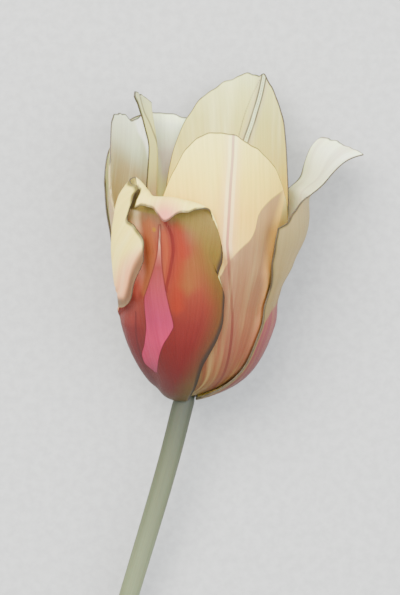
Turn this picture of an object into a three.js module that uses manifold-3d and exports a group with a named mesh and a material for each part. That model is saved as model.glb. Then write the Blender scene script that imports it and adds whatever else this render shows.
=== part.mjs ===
// A cut tulip lying on its side: six tepals in two whorls, six stamens, a pistil and a bare stem.
// Millimetres, +Z up. The bloom points along +Y, and its open mouth is tipped up by a few degrees.

import * as THREE from 'three';
import Module from 'manifold-3d';
import { mergeVertices } from 'three/addons/utils/BufferGeometryUtils.js';

const wasm = await Module();
wasm.setup();

const DEG = Math.PI / 180;

// Driving dimensions of the cup that the tepals form
const CUP_RADIUS = 23.0;
const CUP_FOOT = 43.0;
const CUP_FOOT_RISE = 2.2;
const CUP_FOOT_ROUND = 1.95;
const CUP_SPREAD = 0.14;
const SPREAD_STARTS = [22, 32];
const SPREAD_ENDS = [46, 62];
const FOOT_RADIUS = 2.6;
const FOOT_RISE = 0.9;
const AXIS_SHIFT = 4.9;
const AXIS_START = 1.0;
const AXIS_RISE = 4.0;
const AXIS_POWER = 1.5;
const BLOOM_TILT = 8 * DEG;

// A waist on the right side of the cup
const WAIST_DEPTH = 1.1;
const WAIST_AZIMUTH = 95 * DEG;
const WAIST_EASE = [35 * DEG, 75 * DEG];
const WAIST_STARTS = [23, 30];
const WAIST_ENDS = [33, 40];

// Lengths along a tepal's sheet at which the cup's wall and the blade itself begin
const FOOT_LENGTH = 3.0;
const TEPAL_START = 4.1;

// The underside is pressed a little flat where the bloom lies on it
const PRESSED_SHARE = 0.075;
const PRESSED_EASE = 0.02;
const PRESSED_DEPTH = 0.35;
const PRESSED_SLANT_MIN = 0.2;

// Lines that it bears on, across and along the bloom seen from above: two low ridges, and a small
// flat place beside one of them. The rest of the pressed side stands clear of the ground.
const BEARING_LINES = [
  [[-2.52, 43.35], [-2.72, 48.45]],
  [[-2.52, 43.35], [0.28, 42.85]],
  [[11.38, 38.05], [11.88, 42.55]],
];
const BEARING_EASE = [0.4, 2.6];
const BEARING_CLEARANCE = 0.15;

// Tepal blades
const BLADE_THICKNESS = 0.9;
const MARGIN_THICKNESS = 0.64;
const LAYER_OFFSET = 0.75;
const WRAP_RADIUS_MIN = 4.5;
const MARGIN_EASE_SIDE = 0.8;
const MARGIN_EASE_TOP = 0.85;

// Steps of the tables and the slopes that the blades are worked out with
const TABLE_STEP = 0.25;
const TABLE_LENGTH = 130;
const WALL_STEP_AT_FOOT = 0.004;
const WALL_STEP = 0.05;
const WALL_FOOT_END = 2;
const SHEET_STEP = 0.2;
const BLADE_STEP = 0.002;

// Stem
const NECK_RADIUS = 3.1;
const CUT_RADIUS = 2.7;
const STEM_TAPER_START = 0.2;
const STEM_SIDES = 12;
const STEM_STEPS = 24;
const STEM_REACH = [[0, 0], [4.8, 18.9], [15.1, 53.9], [28.6, 98], [43.5, 143.5]];
const STEM_SINK = [0, 2.5, 7.6, 13.4, 0];
const STEM_LEVEL_SHARE = 0.35;
const STEM_LEVEL_RISE = 0.1;
const CUT_CLEARANCE = 0.02;
const RECEPTACLE_TOP = 2.9;
const RECEPTACLE = [[-0.6, NECK_RADIUS], [0.9, 3.0], [2.1, 3.0], [2.6, 2.95], [RECEPTACLE_TOP, 2.6]];
const HEART_SLANT = 8 * DEG;

// Stamens: the filament's stations are its length along and its radius
const STAMEN_COUNT = 6;
const STAMEN_RING = 2.15;
const STAMEN_RISE = 0.13;
const STAMEN_SPLAY = 17 * DEG;
const FILAMENT_LENGTH = 15;
const FILAMENT = [[0, 0.45], [5.6, 0.8], [12.8, 0.45], [16, 0.45]];
const FILAMENT_SIDES = 6;
const ANTHER_LENGTH = 13;
const ANTHER_WIDTH = 3.0;
const ANTHER_DEPTH = 1.9;
const ANTHER_GROOVE = 0.16;
const ANTHER_SWELL = 0.45;
const ANTHER_ENDS = 0.06;
const ANTHER_STEPS = 6;
const ANTHER_SIDES = 8;

// Pistil: its rings are height, radius, and how strongly three lobes swell it
const PISTIL_RINGS = [[0, 1.1, 0.02], [1.4, 1.7, 0.08], [6.9, 3.0, 0.12], [13.8, 3.0, 0.12],
  [18.4, 2.4, 0.1], [19.8, 2.5, 0.2], [21.4, 4.3, 0.34], [22.5, 3.7, 0.3], [23, 2.0, 0.2]];
const PISTIL_LOBES = 3;
const PISTIL_SIDES = 18;
const SEAT_GAP = 0.3;

// A smooth curve through hand-set stations [x, y], flat beyond its two ends.
function through(stations, x) {
  const last = stations.length - 1;
  if (x <= stations[0][0]) return stations[0][1];
  if (x >= stations[last][0]) return stations[last][1];
  let i = 0;
  while (x > stations[i + 1][0]) i += 1;
  const slope = (k) => (stations[k + 1][1] - stations[k][1]) / (stations[k + 1][0] - stations[k][0]);
  const tangent = (k) => {
    if (k === 0) return slope(0);
    if (k === last) return slope(last - 1);
    const before = slope(k - 1);
    const after = slope(k);
    return before * after <= 0 ? 0 : (2 * before * after) / (before + after);
  };
  const width = stations[i + 1][0] - stations[i][0];
  const t = (x - stations[i][0]) / width;
  const rest = 1 - t;
  return (1 + 2 * t) * rest * rest * stations[i][1] + t * rest * rest * width * tangent(i)
    + t * t * (3 - 2 * t) * stations[i + 1][1] - t * t * rest * width * tangent(i + 1);
}

const ease = (from, to, x) => {
  const t = THREE.MathUtils.clamp((x - from) / (to - from), 0, 1);
  return t * t * (3 - 2 * t);
};

// The wall of the cup, from the stem up: its length along the wall, and how far it leans from the axis.
function cupWall() {
  const wall = { length: [], lean: [], start: 0 };
  let y = 0;
  let spread = 0;
  let before = null;
  let length = 0;
  while (length < TABLE_LENGTH + TABLE_STEP) {
    const foot = 1 - (Math.max(CUP_FOOT - y, 0) / CUP_FOOT) ** CUP_FOOT_RISE;
    const r = CUP_RADIUS * foot ** (1 / CUP_FOOT_ROUND) + spread;
    if (r >= FOOT_RADIUS) {
      if (before === null) {
        wall.start = y;
      } else {
        const run = Math.hypot(y - before.y, r - before.r);
        wall.length.push(length + run / 2);
        wall.lean.push(Math.atan2(r - before.r, y - before.y));
        length += run;
      }
      before = { y, r };
    }
    const step = y < WALL_FOOT_END ? WALL_STEP_AT_FOOT : WALL_STEP;
    spread += CUP_SPREAD * ease(...SPREAD_STARTS, y) * (1 - ease(...SPREAD_ENDS, y)) * step;
    y += step;
  }
  return wall;
}

const WALL = cupWall();

function wallLean(length) {
  const lengths = WALL.length;
  if (length <= lengths[0]) return WALL.lean[0];
  let low = 0;
  let high = lengths.length - 1;
  while (high - low > 1) {
    const middle = (low + high) >> 1;
    if (lengths[middle] <= length) low = middle;
    else high = middle;
  }
  const t = Math.min((length - lengths[low]) / (lengths[high] - lengths[low]), 1);
  return THREE.MathUtils.lerp(WALL.lean[low], WALL.lean[high], t);
}

// Radius and height along one tepal, which may lean out or in from the cup's wall by its own angle.
function tepalProfile(lean) {
  const rows = [{ r: FOOT_RADIUS, y: FOOT_RISE + WALL.start }];
  const angle = (h) => wallLean(h - FOOT_LENGTH) + through(lean, h) * DEG;
  for (let h = FOOT_LENGTH; h < TABLE_LENGTH + FOOT_LENGTH; h += TABLE_STEP) {
    const [a, b] = [angle(h), angle(h + TABLE_STEP)];
    const { r, y } = rows.at(-1);
    rows.push({
      r: r + (Math.sin(a) + Math.sin(b)) / 2 * TABLE_STEP,
      y: y + (Math.cos(a) + Math.cos(b)) / 2 * TABLE_STEP,
    });
  }
  return (h) => {
    const place = THREE.MathUtils.clamp((h - FOOT_LENGTH) / TABLE_STEP, 0, rows.length - 1.001);
    const row = Math.floor(place);
    return {
      r: THREE.MathUtils.lerp(rows[row].r, rows[row + 1].r, place - row),
      y: THREE.MathUtils.lerp(rows[row].y, rows[row + 1].y, place - row),
    };
  };
}

// Share of the radius left at an azimuth: less than one underneath, where the bloom is pressed flat.
function pressed(azimuth) {
  const off = Math.abs(THREE.MathUtils.euclideanModulo(azimuth, 2 * Math.PI) - Math.PI);
  const flat = (1 - PRESSED_SHARE) / Math.max(Math.cos(off), PRESSED_SLANT_MIN);
  return 0.5 * (1 + flat - Math.hypot(1 - flat, PRESSED_EASE));
}

// The cup stands off to one side of its foot.
const axisX = (y) => (
  AXIS_SHIFT * (1 - Math.exp(-((Math.max(y - AXIS_START, 0) / AXIS_RISE) ** AXIS_POWER)))
);

// The cup's waist on the right, as a depth taken from its radius.
function waist(azimuth, y) {
  const turned = THREE.MathUtils.euclideanModulo(azimuth - WAIST_AZIMUTH + Math.PI, 2 * Math.PI);
  const off = Math.abs(turned - Math.PI);
  const inside = ease(...WAIST_STARTS, y) * (1 - ease(...WAIST_ENDS, y));
  return WAIST_DEPTH * inside * (1 - ease(...WAIST_EASE, off));
}

// A point of the tepal's sheet wrapped round the bloom's axis: a runs across the sheet, h along it.
function wrap(tepal, a, h) {
  const { r, y } = tepal.profile(h);
  const azimuth = through(tepal.azimuth, h) * DEG + a / Math.max(r, WRAP_RADIUS_MIN);
  const reach = r * pressed(azimuth) - waist(azimuth, y);
  return new THREE.Vector3(axisX(y) + reach * Math.sin(azimuth), y, reach * Math.cos(azimuth));
}

function wrapNormal(tepal, a, h) {
  const across = wrap(tepal, a + SHEET_STEP, h).sub(wrap(tepal, a - SHEET_STEP, h));
  const along = wrap(tepal, a, h + SHEET_STEP).sub(wrap(tepal, a, h - SHEET_STEP));
  return across.cross(along).normalize();
}

// A margin rolled over a fold line: how far it still reaches, and how far it stands off the sheet.
function roll(over, radius, turn) {
  const bent = Math.min(over / radius, turn);
  const straight = over - bent * radius;
  return {
    on: radius * Math.sin(bent) + straight * Math.cos(turn),
    off: radius * (1 - Math.cos(bent)) + straight * Math.sin(turn),
  };
}

function folded(tepal, a, h) {
  let off = 0;
  for (const fold of tepal.folds ?? []) {
    const top = fold.side === 'top';
    const sign = fold.side === 'left' ? -1 : 1;
    const line = through(fold.line, top ? a : h);
    const over = (top ? h : sign * a) - line;
    if (over > 0) {
      const rolled = roll(over, fold.radius, fold.turn(a, h) * DEG);
      if (top) h = line + rolled.on;
      else a = sign * (line + rolled.on);
      off += rolled.off * fold.out;
    }
  }
  return { a, h, off };
}

// How far the pressed side stands off the ground.
function bearingRise(x, y) {
  const distances = BEARING_LINES.map(([[x0, y0], [x1, y1]]) => {
    const along = ((x - x0) * (x1 - x0) + (y - y0) * (y1 - y0)) / ((x1 - x0) ** 2 + (y1 - y0) ** 2);
    const t = THREE.MathUtils.clamp(along, 0, 1);
    return Math.hypot(x - x0 - t * (x1 - x0), y - y0 - t * (y1 - y0));
  });
  return BEARING_CLEARANCE * ease(...BEARING_EASE, Math.min(...distances));
}

// The middle of the blade at u = -1..1 across and v = 0..1 along, in the bloom's own frame.
function bladeMiddle(tepal, u, v) {
  const flatA = u * through(u < 0 ? tepal.left : tepal.right, v);
  const flatH = TEPAL_START + v * (through(tepal.top, u) - TEPAL_START);
  const { a, h, off } = folded(tepal, flatA, flatH);
  const lift = off + tepal.layer * LAYER_OFFSET + (tepal.relief ? tepal.relief(a, h) : 0);
  const point = wrap(tepal, a, h).addScaledVector(wrapNormal(tepal, a, h), lift);
  if (tepal.floor !== undefined) {
    const along = point.y * Math.cos(BLOOM_TILT) - point.z * Math.sin(BLOOM_TILT);
    const height = tepal.floor + bearingRise(point.x, along) + BLADE_THICKNESS / 2;
    const rise = (height - point.y * Math.sin(BLOOM_TILT)) / Math.cos(BLOOM_TILT);
    point.z = Math.max(point.z, rise);
  }
  return point;
}

function bladeNormal(tepal, u, v) {
  const [u0, u1] = [Math.max(u - BLADE_STEP, -1), Math.min(u + BLADE_STEP, 1)];
  const [v0, v1] = [Math.max(v - BLADE_STEP, 0), Math.min(v + BLADE_STEP, 1)];
  const across = bladeMiddle(tepal, u1, v).sub(bladeMiddle(tepal, u0, v));
  const along = bladeMiddle(tepal, u, v1).sub(bladeMiddle(tepal, u, v0));
  return across.cross(along).normalize();
}

// Stations along one direction of a blade, closer together where its margin is rolled.
function spaced(bands) {
  const stations = [bands[0].from];
  for (const { from, to, count } of bands) {
    for (let i = 1; i <= count; i += 1) stations.push(from + (to - from) * i / count);
  }
  return stations;
}

function tepalGeometry(tepal) {
  const columns = spaced(tepal.columns);
  const rows = spaced(tepal.rows);
  const positions = [];
  const faces = [];
  for (const side of [1, -1]) {
    for (const v of rows) {
      for (const u of columns) {
        const margin = Math.max(ease(MARGIN_EASE_SIDE, 1, Math.abs(u)), ease(MARGIN_EASE_TOP, 1, v));
        const thickness = THREE.MathUtils.lerp(BLADE_THICKNESS, MARGIN_THICKNESS, margin);
        const normal = bladeNormal(tepal, u, v);
        const point = bladeMiddle(tepal, u, v).addScaledVector(normal, side * thickness / 2);
        positions.push(point.x, point.y, point.z);
      }
    }
  }
  const wide = columns.length;
  const high = rows.length;
  const inner = wide * high;
  const quad = (a, b, c, d) => faces.push(a, b, c, a, c, d);
  for (let j = 0; j < high - 1; j += 1) {
    for (let i = 0; i < wide - 1; i += 1) {
      const [a, b, c, d] = [j * wide + i, j * wide + i + 1, (j + 1) * wide + i + 1, (j + 1) * wide + i];
      quad(a, b, c, d);
      quad(inner + a, inner + d, inner + c, inner + b);
    }
  }
  for (let j = 0; j < high - 1; j += 1) {
    const [low, up] = [j * wide, (j + 1) * wide];
    const [lowEnd, upEnd] = [low + wide - 1, up + wide - 1];
    quad(low, up, up + inner, low + inner);
    quad(lowEnd, lowEnd + inner, upEnd + inner, upEnd);
  }
  for (let i = 0; i < wide - 1; i += 1) {
    const top = (high - 1) * wide + i;
    quad(i, i + inner, i + 1 + inner, i + 1);
    quad(top, top + 1, top + 1 + inner, top + inner);
  }
  const geometry = new THREE.BufferGeometry();
  geometry.setAttribute('position', new THREE.Float32BufferAttribute(positions, 3));
  geometry.setIndex(faces);
  geometry.computeVertexNormals();
  return geometry;
}

const UPRIGHT = [[0, 0], [TABLE_LENGTH, 0]];
const PLAIN_COLUMNS = [{ from: -1, to: 1, count: 14 }];
const PLAIN_ROWS = [{ from: 0, to: 0.3, count: 6 }, { from: 0.3, to: 1, count: 12 }];

// The tepals. Each outline is given as left and right half widths along it, and its top across it.
const TEPALS = {
  // Front left: the left margin and the top are rolled outwards, and show the pale inside
  tepal_outer_front: {
    colour: '#c2503c',
    layer: 1,
    azimuth: [[0, -27], [130, -27]],
    lean: UPRIGHT,
    left: [[0, 3], [0.09, 8], [0.2, 13], [0.36, 16.5], [0.5, 16.5], [0.56, 15.6], [0.61, 15.2],
      [0.65, 15.6], [0.72, 20], [0.79, 22.6], [0.85, 24.8], [0.93, 27], [1, 28.6]],
    right: [[0, 3], [0.14, 4.6], [0.29, 7.2], [0.47, 13.5], [0.6, 16.2], [0.69, 17.2], [0.78, 16.5],
      [0.86, 18], [0.92, 18.5], [1, 16.8]],
    top: [[-1, 55], [-0.97, 58.5], [-0.94, 60.8], [-0.86, 62.5], [-0.8, 64.2], [-0.64, 68.6],
      [-0.5, 73], [-0.36, 76.2], [-0.26, 77.8], [-0.18, 78.6], [-0.12, 78], [-0.06, 77], [0.05, 76.9],
      [0.16, 78.8], [0.25, 80.6], [0.34, 78.4], [0.46, 75.2], [0.6, 73.8], [0.76, 72], [0.93, 68],
      [1, 62]],
    folds: [
      {
        side: 'left',
        out: 1,
        radius: 1.6,
        turn: (a, h) => 176 * ease(28, 37, h),
        line: [[0, 12.5], [30, 12.5], [38, 12.8], [48, 13.3], [55, 13.2], [61, 12.2], [66, 10.8],
          [70, 9], [73, 6.8], [77, 4], [90, 3.4]],
      },
      {
        side: 'top',
        out: 1,
        radius: 1.8,
        turn: (a) => 155 * ease(-10, -5, a) * (1 - 0.35 * ease(9, 15, a)),
        line: [[-60, 92], [-12, 80], [-6, 76], [-4.5, 74.8], [-3, 72.3], [-0.5, 70.1], [3.5, 70],
          [9.8, 69], [13.8, 67.6], [16, 65.5], [19, 62]],
      },
    ],
    columns: [
      { from: -1, to: -0.4, count: 14 },
      { from: -0.4, to: 0.1, count: 6 },
      { from: 0.1, to: 1, count: 7 },
    ],
    rows: [
      { from: 0, to: 0.5, count: 9 },
      { from: 0.5, to: 0.8, count: 6 },
      { from: 0.8, to: 1, count: 11 },
    ],
  },
  // Right: it swells, then bends out sharply, so that its pale inside faces up
  tepal_outer_right: {
    colour: '#b98f5c',
    layer: 1,
    azimuth: [[0, 92], [60, 95], [100, 100], [130, 100]],
    lean: [[0, 0], [34.81, 0], [42.8, 0.1], [46.8, 7.2], [51.4, 11.5], [55.6, 19.4], [59.3, 10.9],
      [63.3, 0.6], [67.2, -5.5], [69.9, 9.8], [71.9, 44.9], [74.6, 55.3], [79.1, 43.6], [84.4, 54.6],
      [88.9, 72.8], [92.9, 81.9], [130, 81.9]],
    left: [[0, 3], [0.09, 8], [0.18, 10.8], [0.27, 12], [0.4, 13.5], [0.53, 12.8], [0.6, 11.6],
      [0.66, 11.2], [0.75, 15], [0.84, 19.5], [0.94, 24.8], [1, 26]],
    right: [[0, 3], [0.15, 9], [0.4, 16], [0.7, 17.5], [0.77, 16.2], [0.86, 14.8], [0.95, 17],
      [1, 16.5]],
    top: [[-1, 63.8], [-0.85, 65], [-0.75, 67.3], [-0.62, 69.6], [-0.5, 71.4], [-0.35, 73.4],
      [-0.18, 76.2], [-0.1, 79], [-0.06, 83.5], [-0.03, 87.5], [0, 92], [0.1, 91.6], [0.32, 89.6],
      [0.67, 88.2], [0.92, 86.8], [1, 84]],
    relief: (a, h) => -0.45 * Math.max(a, 0) * ease(76, 90, h),
    columns: [
      { from: -1, to: -0.1, count: 8 },
      { from: -0.1, to: 0.04, count: 4 },
      { from: 0.04, to: 1, count: 6 },
    ],
    rows: [{ from: 0, to: 0.3, count: 6 }, { from: 0.3, to: 1, count: 18 }],
  },
  // Back: the one that the bloom lies on
  tepal_outer_back: {
    colour: '#b0543f',
    layer: 1,
    azimuth: [[0, 198], [130, 198]],
    lean: UPRIGHT,
    left: [[0, 3], [0.15, 9], [0.4, 17], [0.7, 22.5], [1, 24]],
    right: [[0, 3], [0.15, 9], [0.4, 17], [0.7, 23], [1, 26.5]],
    top: [[-1, 60], [-0.92, 70], [-0.7, 82], [-0.4, 88.5], [-0.1, 90.8], [0, 91.4], [0.25, 92.2],
      [0.5, 90.8], [0.75, 85], [0.93, 77], [1, 68]],
    relief: (a, h) => 1.5 * ease(15, 26, a) * ease(30, 55, h),
    columns: PLAIN_COLUMNS,
    rows: PLAIN_ROWS,
  },
  // Front right, in the inner whorl
  tepal_inner_front: {
    colour: '#ddc193',
    layer: -1,
    azimuth: [[0, 23], [130, 23]],
    lean: [[0, 0], [60, 0], [90, -6], [130, -6]],
    left: [[0, 3], [0.15, 9], [0.4, 17], [0.7, 23], [1, 24.5]],
    right: [[0, 3], [0.15, 9], [0.4, 17], [0.7, 23], [1, 24]],
    top: [[-1, 58], [-0.97, 66], [-0.87, 73], [-0.74, 79.4], [-0.59, 85.3], [-0.32, 89.6],
      [-0.12, 89.5], [0, 88.7], [0.1, 87.3], [0.35, 83.8], [0.62, 78.3], [0.78, 72.6], [0.93, 65],
      [1, 56]],
    columns: PLAIN_COLUMNS,
    rows: PLAIN_ROWS,
  },
  // Back, the tallest, with its tip drawn out to a point
  tepal_inner_back: {
    colour: '#e3cfa0',
    layer: -1,
    azimuth: [[0, 148], [130, 148]],
    lean: UPRIGHT,
    left: [[0, 3], [0.15, 9], [0.4, 17], [0.7, 21], [1, 21]],
    right: [[0, 3], [0.15, 9], [0.4, 17], [0.7, 23], [1, 26.5]],
    top: [[-1, 66], [-0.96, 72], [-0.86, 84.5], [-0.76, 90.8], [-0.53, 97.8], [-0.38, 101.8],
      [-0.28, 103.6], [-0.2, 102.9], [-0.1, 103.6], [0, 103.6], [0.2, 101.6], [0.38, 98.6],
      [0.53, 95.6], [0.73, 90.3], [0.87, 82.3], [0.95, 74.5], [1, 67]],
    columns: PLAIN_COLUMNS,
    rows: PLAIN_ROWS,
  },
  // Left: its far margin is rolled inwards towards a ragged tip
  tepal_inner_left: {
    colour: '#cdb98d',
    layer: -1,
    azimuth: [[0, -98], [40, -99], [55, -104], [65, -113], [90, -124], [130, -124]],
    lean: UPRIGHT,
    left: [[0, 3], [0.15, 9], [0.4, 18.5], [0.6, 24], [0.68, 25.8], [0.77, 22.5], [0.86, 17],
      [0.92, 17], [0.97, 19], [1, 22]],
    right: [[0, 3], [0.15, 9], [0.4, 18], [0.6, 22.5], [0.72, 23], [0.82, 18.5], [0.92, 15], [1, 14]],
    top: [[-1, 95.5], [-0.95, 98], [-0.84, 99], [-0.66, 97.6], [-0.5, 95.3], [-0.36, 92.8],
      [-0.2, 90.5], [-0.1, 90.3], [0.1, 92.3], [0.5, 92.6], [0.8, 90.5], [1, 80]],
    folds: [
      {
        side: 'left',
        out: -1,
        radius: 1.5,
        turn: (a, h) => 172 * ease(48, 68, h),
        line: [[0, 22], [56, 19], [60, 17.8], [70, 15.8], [78, 11.6], [83, 9.6], [89, 8], [93, 7.3],
          [110, 6.5]],
      },
    ],
    columns: [{ from: -1, to: -0.35, count: 11 }, { from: -0.35, to: 1, count: 9 }],
    rows: [{ from: 0, to: 0.3, count: 6 }, { from: 0.3, to: 1, count: 14 }],
  },
};

// Closed tube-like solid: stations along a line of centres, each with its own section.
function lofted(stations, sides) {
  const positions = [];
  const faces = [];
  for (const { centre, across, up, section } of stations) {
    for (let i = 0; i < sides; i += 1) {
      const angle = 2 * Math.PI * (i + 0.5) / sides;
      const { x, y } = section(angle);
      const point = centre.clone().addScaledVector(across, x).addScaledVector(up, y);
      positions.push(point.x, point.y, point.z);
    }
  }
  const last = stations.length - 1;
  const ends = [stations[0].centre, stations[last].centre];
  for (const end of ends) positions.push(end.x, end.y, end.z);
  const first = stations.length * sides;
  for (let j = 0; j < last; j += 1) {
    for (let i = 0; i < sides; i += 1) {
      const next = (i + 1) % sides;
      const [low, up] = [j * sides, (j + 1) * sides];
      faces.push(low + i, low + next, up + next, low + i, up + next, up + i);
    }
  }
  for (let i = 0; i < sides; i += 1) {
    const next = (i + 1) % sides;
    faces.push(first, next, i);
    faces.push(first + 1, last * sides + i, last * sides + next);
  }
  const geometry = new THREE.BufferGeometry();
  geometry.setAttribute('position', new THREE.Float32BufferAttribute(positions, 3));
  geometry.setIndex(faces);
  geometry.computeVertexNormals();
  return geometry;
}

const round = (radius) => (angle) => ({ x: radius * Math.cos(angle), y: radius * Math.sin(angle) });

// The stem runs from its cut end, level on the surface, up to the bloom's foot and on into the receptacle.
function stemGeometry(neckHeight, footFrame) {
  const restHeight = CUT_RADIUS * Math.cos(Math.PI / STEM_SIDES) + CUT_CLEARANCE;
  const centres = STEM_REACH.map(([left, down], i) => (
    new THREE.Vector3(-left, -down, neckHeight - STEM_SINK[i])
  ));
  centres.at(-1).z = restHeight;
  const level = centres.at(-1).clone().lerp(centres.at(-2), STEM_LEVEL_SHARE);
  level.z = restHeight + STEM_LEVEL_RISE;
  centres.splice(-1, 0, level);
  const line = new THREE.CatmullRomCurve3(centres.reverse());
  const stations = [];
  for (let i = 0; i < STEM_STEPS; i += 1) {
    const t = i / STEM_STEPS;
    const tangent = line.getTangentAt(t);
    const across = new THREE.Vector3(tangent.y, -tangent.x, 0).normalize();
    const up = tangent.clone().cross(across).normalize();
    const section = round(THREE.MathUtils.lerp(CUT_RADIUS, NECK_RADIUS, ease(STEM_TAPER_START, 1, t)));
    stations.push({ centre: line.getPointAt(t), across, up, section });
  }
  const { across, up } = footFrame;
  for (const [along, radius] of RECEPTACLE) {
    stations.push({ centre: footFrame.at(along), across, up, section: round(radius) });
  }
  return lofted(stations, STEM_SIDES);
}

function solidOf(geometry) {
  const bare = geometry.clone();
  bare.deleteAttribute('normal');
  bare.deleteAttribute('uv');
  const merged = mergeVertices(bare, 1e-4);
  return new wasm.Manifold(new wasm.Mesh({
    numProp: 3,
    vertProperties: new Float32Array(merged.attributes.position.array),
    triVerts: new Uint32Array(merged.index.array),
  }));
}

function geometryOf(solid) {
  const mesh = solid.getMesh();
  const geometry = new THREE.BufferGeometry();
  geometry.setAttribute('position', new THREE.Float32BufferAttribute(mesh.vertProperties, 3));
  geometry.setIndex([...mesh.triVerts]);
  geometry.computeVertexNormals();
  return geometry;
}

// One stamen along +Y from its foot: a tapered filament and a long grooved anther, grown as one piece.
function stamenGeometry() {
  const across = new THREE.Vector3(1, 0, 0);
  const up = new THREE.Vector3(0, 0, -1);
  const filament = FILAMENT.map(([along, radius]) => (
    { centre: new THREE.Vector3(0, along, 0), across, up, section: round(radius) }
  ));
  const anther = [];
  for (let i = 0; i <= ANTHER_STEPS; i += 1) {
    const t = i / ANTHER_STEPS;
    const swell = Math.sin(Math.PI * THREE.MathUtils.lerp(ANTHER_ENDS, 1 - ANTHER_ENDS, t)) ** ANTHER_SWELL;
    const section = (angle) => {
      const groove = 1 - ANTHER_GROOVE * Math.abs(Math.sin(angle)) ** 6;
      return {
        x: ANTHER_WIDTH / 2 * swell * Math.cos(angle),
        y: ANTHER_DEPTH / 2 * swell * groove * Math.sin(angle),
      };
    };
    const centre = new THREE.Vector3(0, FILAMENT_LENGTH + t * ANTHER_LENGTH, 0);
    anther.push({ centre, across, up, section });
  }
  const parts = [lofted(filament, FILAMENT_SIDES), lofted(anther, ANTHER_SIDES)].map(solidOf);
  return geometryOf(parts[0].add(parts[1]));
}

// A three-sided ovary under a three-lobed stigma, as one lathe-like loft along +Y.
function pistilGeometry() {
  const across = new THREE.Vector3(1, 0, 0);
  const up = new THREE.Vector3(0, 0, -1);
  const stations = PISTIL_RINGS.map(([height, radius, lobes]) => ({
    centre: new THREE.Vector3(0, height, 0),
    across,
    up,
    section: (angle) => round(radius * (1 + lobes * Math.cos(PISTIL_LOBES * angle)) / (1 + lobes))(angle),
  }));
  return lofted(stations, PISTIL_SIDES);
}

const finish = (color, roughness) => new THREE.MeshStandardMaterial({ color, roughness, metalness: 0 });

function named(name, geometry, material) {
  const mesh = new THREE.Mesh(geometry, material);
  mesh.name = name;
  return mesh;
}

// The lowest point of the tepal that the bloom lies on, before it is pressed flat.
function lowestOf(tepal) {
  let lowest = Infinity;
  for (const v of spaced(tepal.rows)) {
    for (const u of spaced(tepal.columns)) {
      const { y, z } = bladeMiddle(tepal, u, v);
      const height = y * Math.sin(BLOOM_TILT) + z * Math.cos(BLOOM_TILT);
      lowest = Math.min(lowest, height - BLADE_THICKNESS / 2);
    }
  }
  return lowest;
}

for (const tepal of Object.values(TEPALS)) tepal.profile = tepalProfile(tepal.lean);

const resting = TEPALS.tepal_outer_back;
const neckHeight = -lowestOf(resting) - PRESSED_DEPTH;
resting.floor = -neckHeight;

const bloom = new THREE.Group();
bloom.rotation.x = BLOOM_TILT;
bloom.position.z = neckHeight;
for (const [name, tepal] of Object.entries(TEPALS)) {
  bloom.add(named(name, tepalGeometry(tepal), finish(tepal.colour, 0.5)));
}

// The receptacle slants towards the middle of the cup, and the stamens and the pistil stand on it
const alongHeart = (along) => along * Math.tan(HEART_SLANT);
const heart = new THREE.Group();
heart.rotation.z = -HEART_SLANT;
heart.position.set(alongHeart(RECEPTACLE_TOP + SEAT_GAP), RECEPTACLE_TOP + SEAT_GAP, 0);
heart.add(named('pistil', pistilGeometry(), finish('#b9bd74', 0.55)));
for (let i = 0; i < STAMEN_COUNT; i += 1) {
  const turn = new THREE.Group();
  turn.rotation.y = 2 * Math.PI * (i + 0.5) / STAMEN_COUNT;
  const stamen = named(`stamen_${i + 1}`, stamenGeometry(), finish('#3c2a3f', 0.7));
  stamen.position.set(0, STAMEN_RISE, STAMEN_RING);
  stamen.rotation.x = STAMEN_SPLAY;
  turn.add(stamen);
  heart.add(turn);
}
bloom.add(heart);

const inBloom = new THREE.Matrix4().makeRotationX(BLOOM_TILT).setPosition(0, 0, neckHeight);
const footFrame = {
  across: new THREE.Vector3(Math.cos(HEART_SLANT), -Math.sin(HEART_SLANT), 0).transformDirection(inBloom),
  up: new THREE.Vector3(0, 0, -1).transformDirection(inBloom),
  at: (along) => new THREE.Vector3(alongHeart(along), along, 0).applyMatrix4(inBloom),
};

const tulip = new THREE.Group();
tulip.add(bloom);
tulip.add(named('stem', stemGeometry(neckHeight, footFrame), finish('#8f9a5a', 0.5)));

// The origin is the middle of the box that the flower fills, on the surface that it lies on
tulip.updateMatrixWorld(true);
const box = new THREE.Box3().setFromObject(tulip, true);
tulip.position.set(-(box.min.x + box.max.x) / 2, -(box.min.y + box.max.y) / 2, -box.min.z);

export default tulip;
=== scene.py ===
import math

import bpy
import numpy as np
from mathutils import Matrix, Vector


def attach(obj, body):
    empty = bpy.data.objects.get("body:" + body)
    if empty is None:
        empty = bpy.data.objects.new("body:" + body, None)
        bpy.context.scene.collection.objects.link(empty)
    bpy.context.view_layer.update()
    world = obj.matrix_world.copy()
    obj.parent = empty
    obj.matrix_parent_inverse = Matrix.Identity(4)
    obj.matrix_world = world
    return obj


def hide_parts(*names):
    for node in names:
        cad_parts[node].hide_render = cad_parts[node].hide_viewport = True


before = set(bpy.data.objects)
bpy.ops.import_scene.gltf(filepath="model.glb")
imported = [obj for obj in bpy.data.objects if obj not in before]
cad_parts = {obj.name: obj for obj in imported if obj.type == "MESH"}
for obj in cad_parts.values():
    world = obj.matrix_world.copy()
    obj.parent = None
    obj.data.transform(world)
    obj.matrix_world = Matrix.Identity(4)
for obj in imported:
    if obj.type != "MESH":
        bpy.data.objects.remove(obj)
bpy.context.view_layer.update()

MM = 0.001
DEG = math.pi / 180


# -------------------- the bloom's form, in millimetres
# The formulas of the solids: a cup's wall, and each tepal as a sheet wrapped round it. On a sheet,
# a is the distance across from its middle line and h the distance along it.

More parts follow.
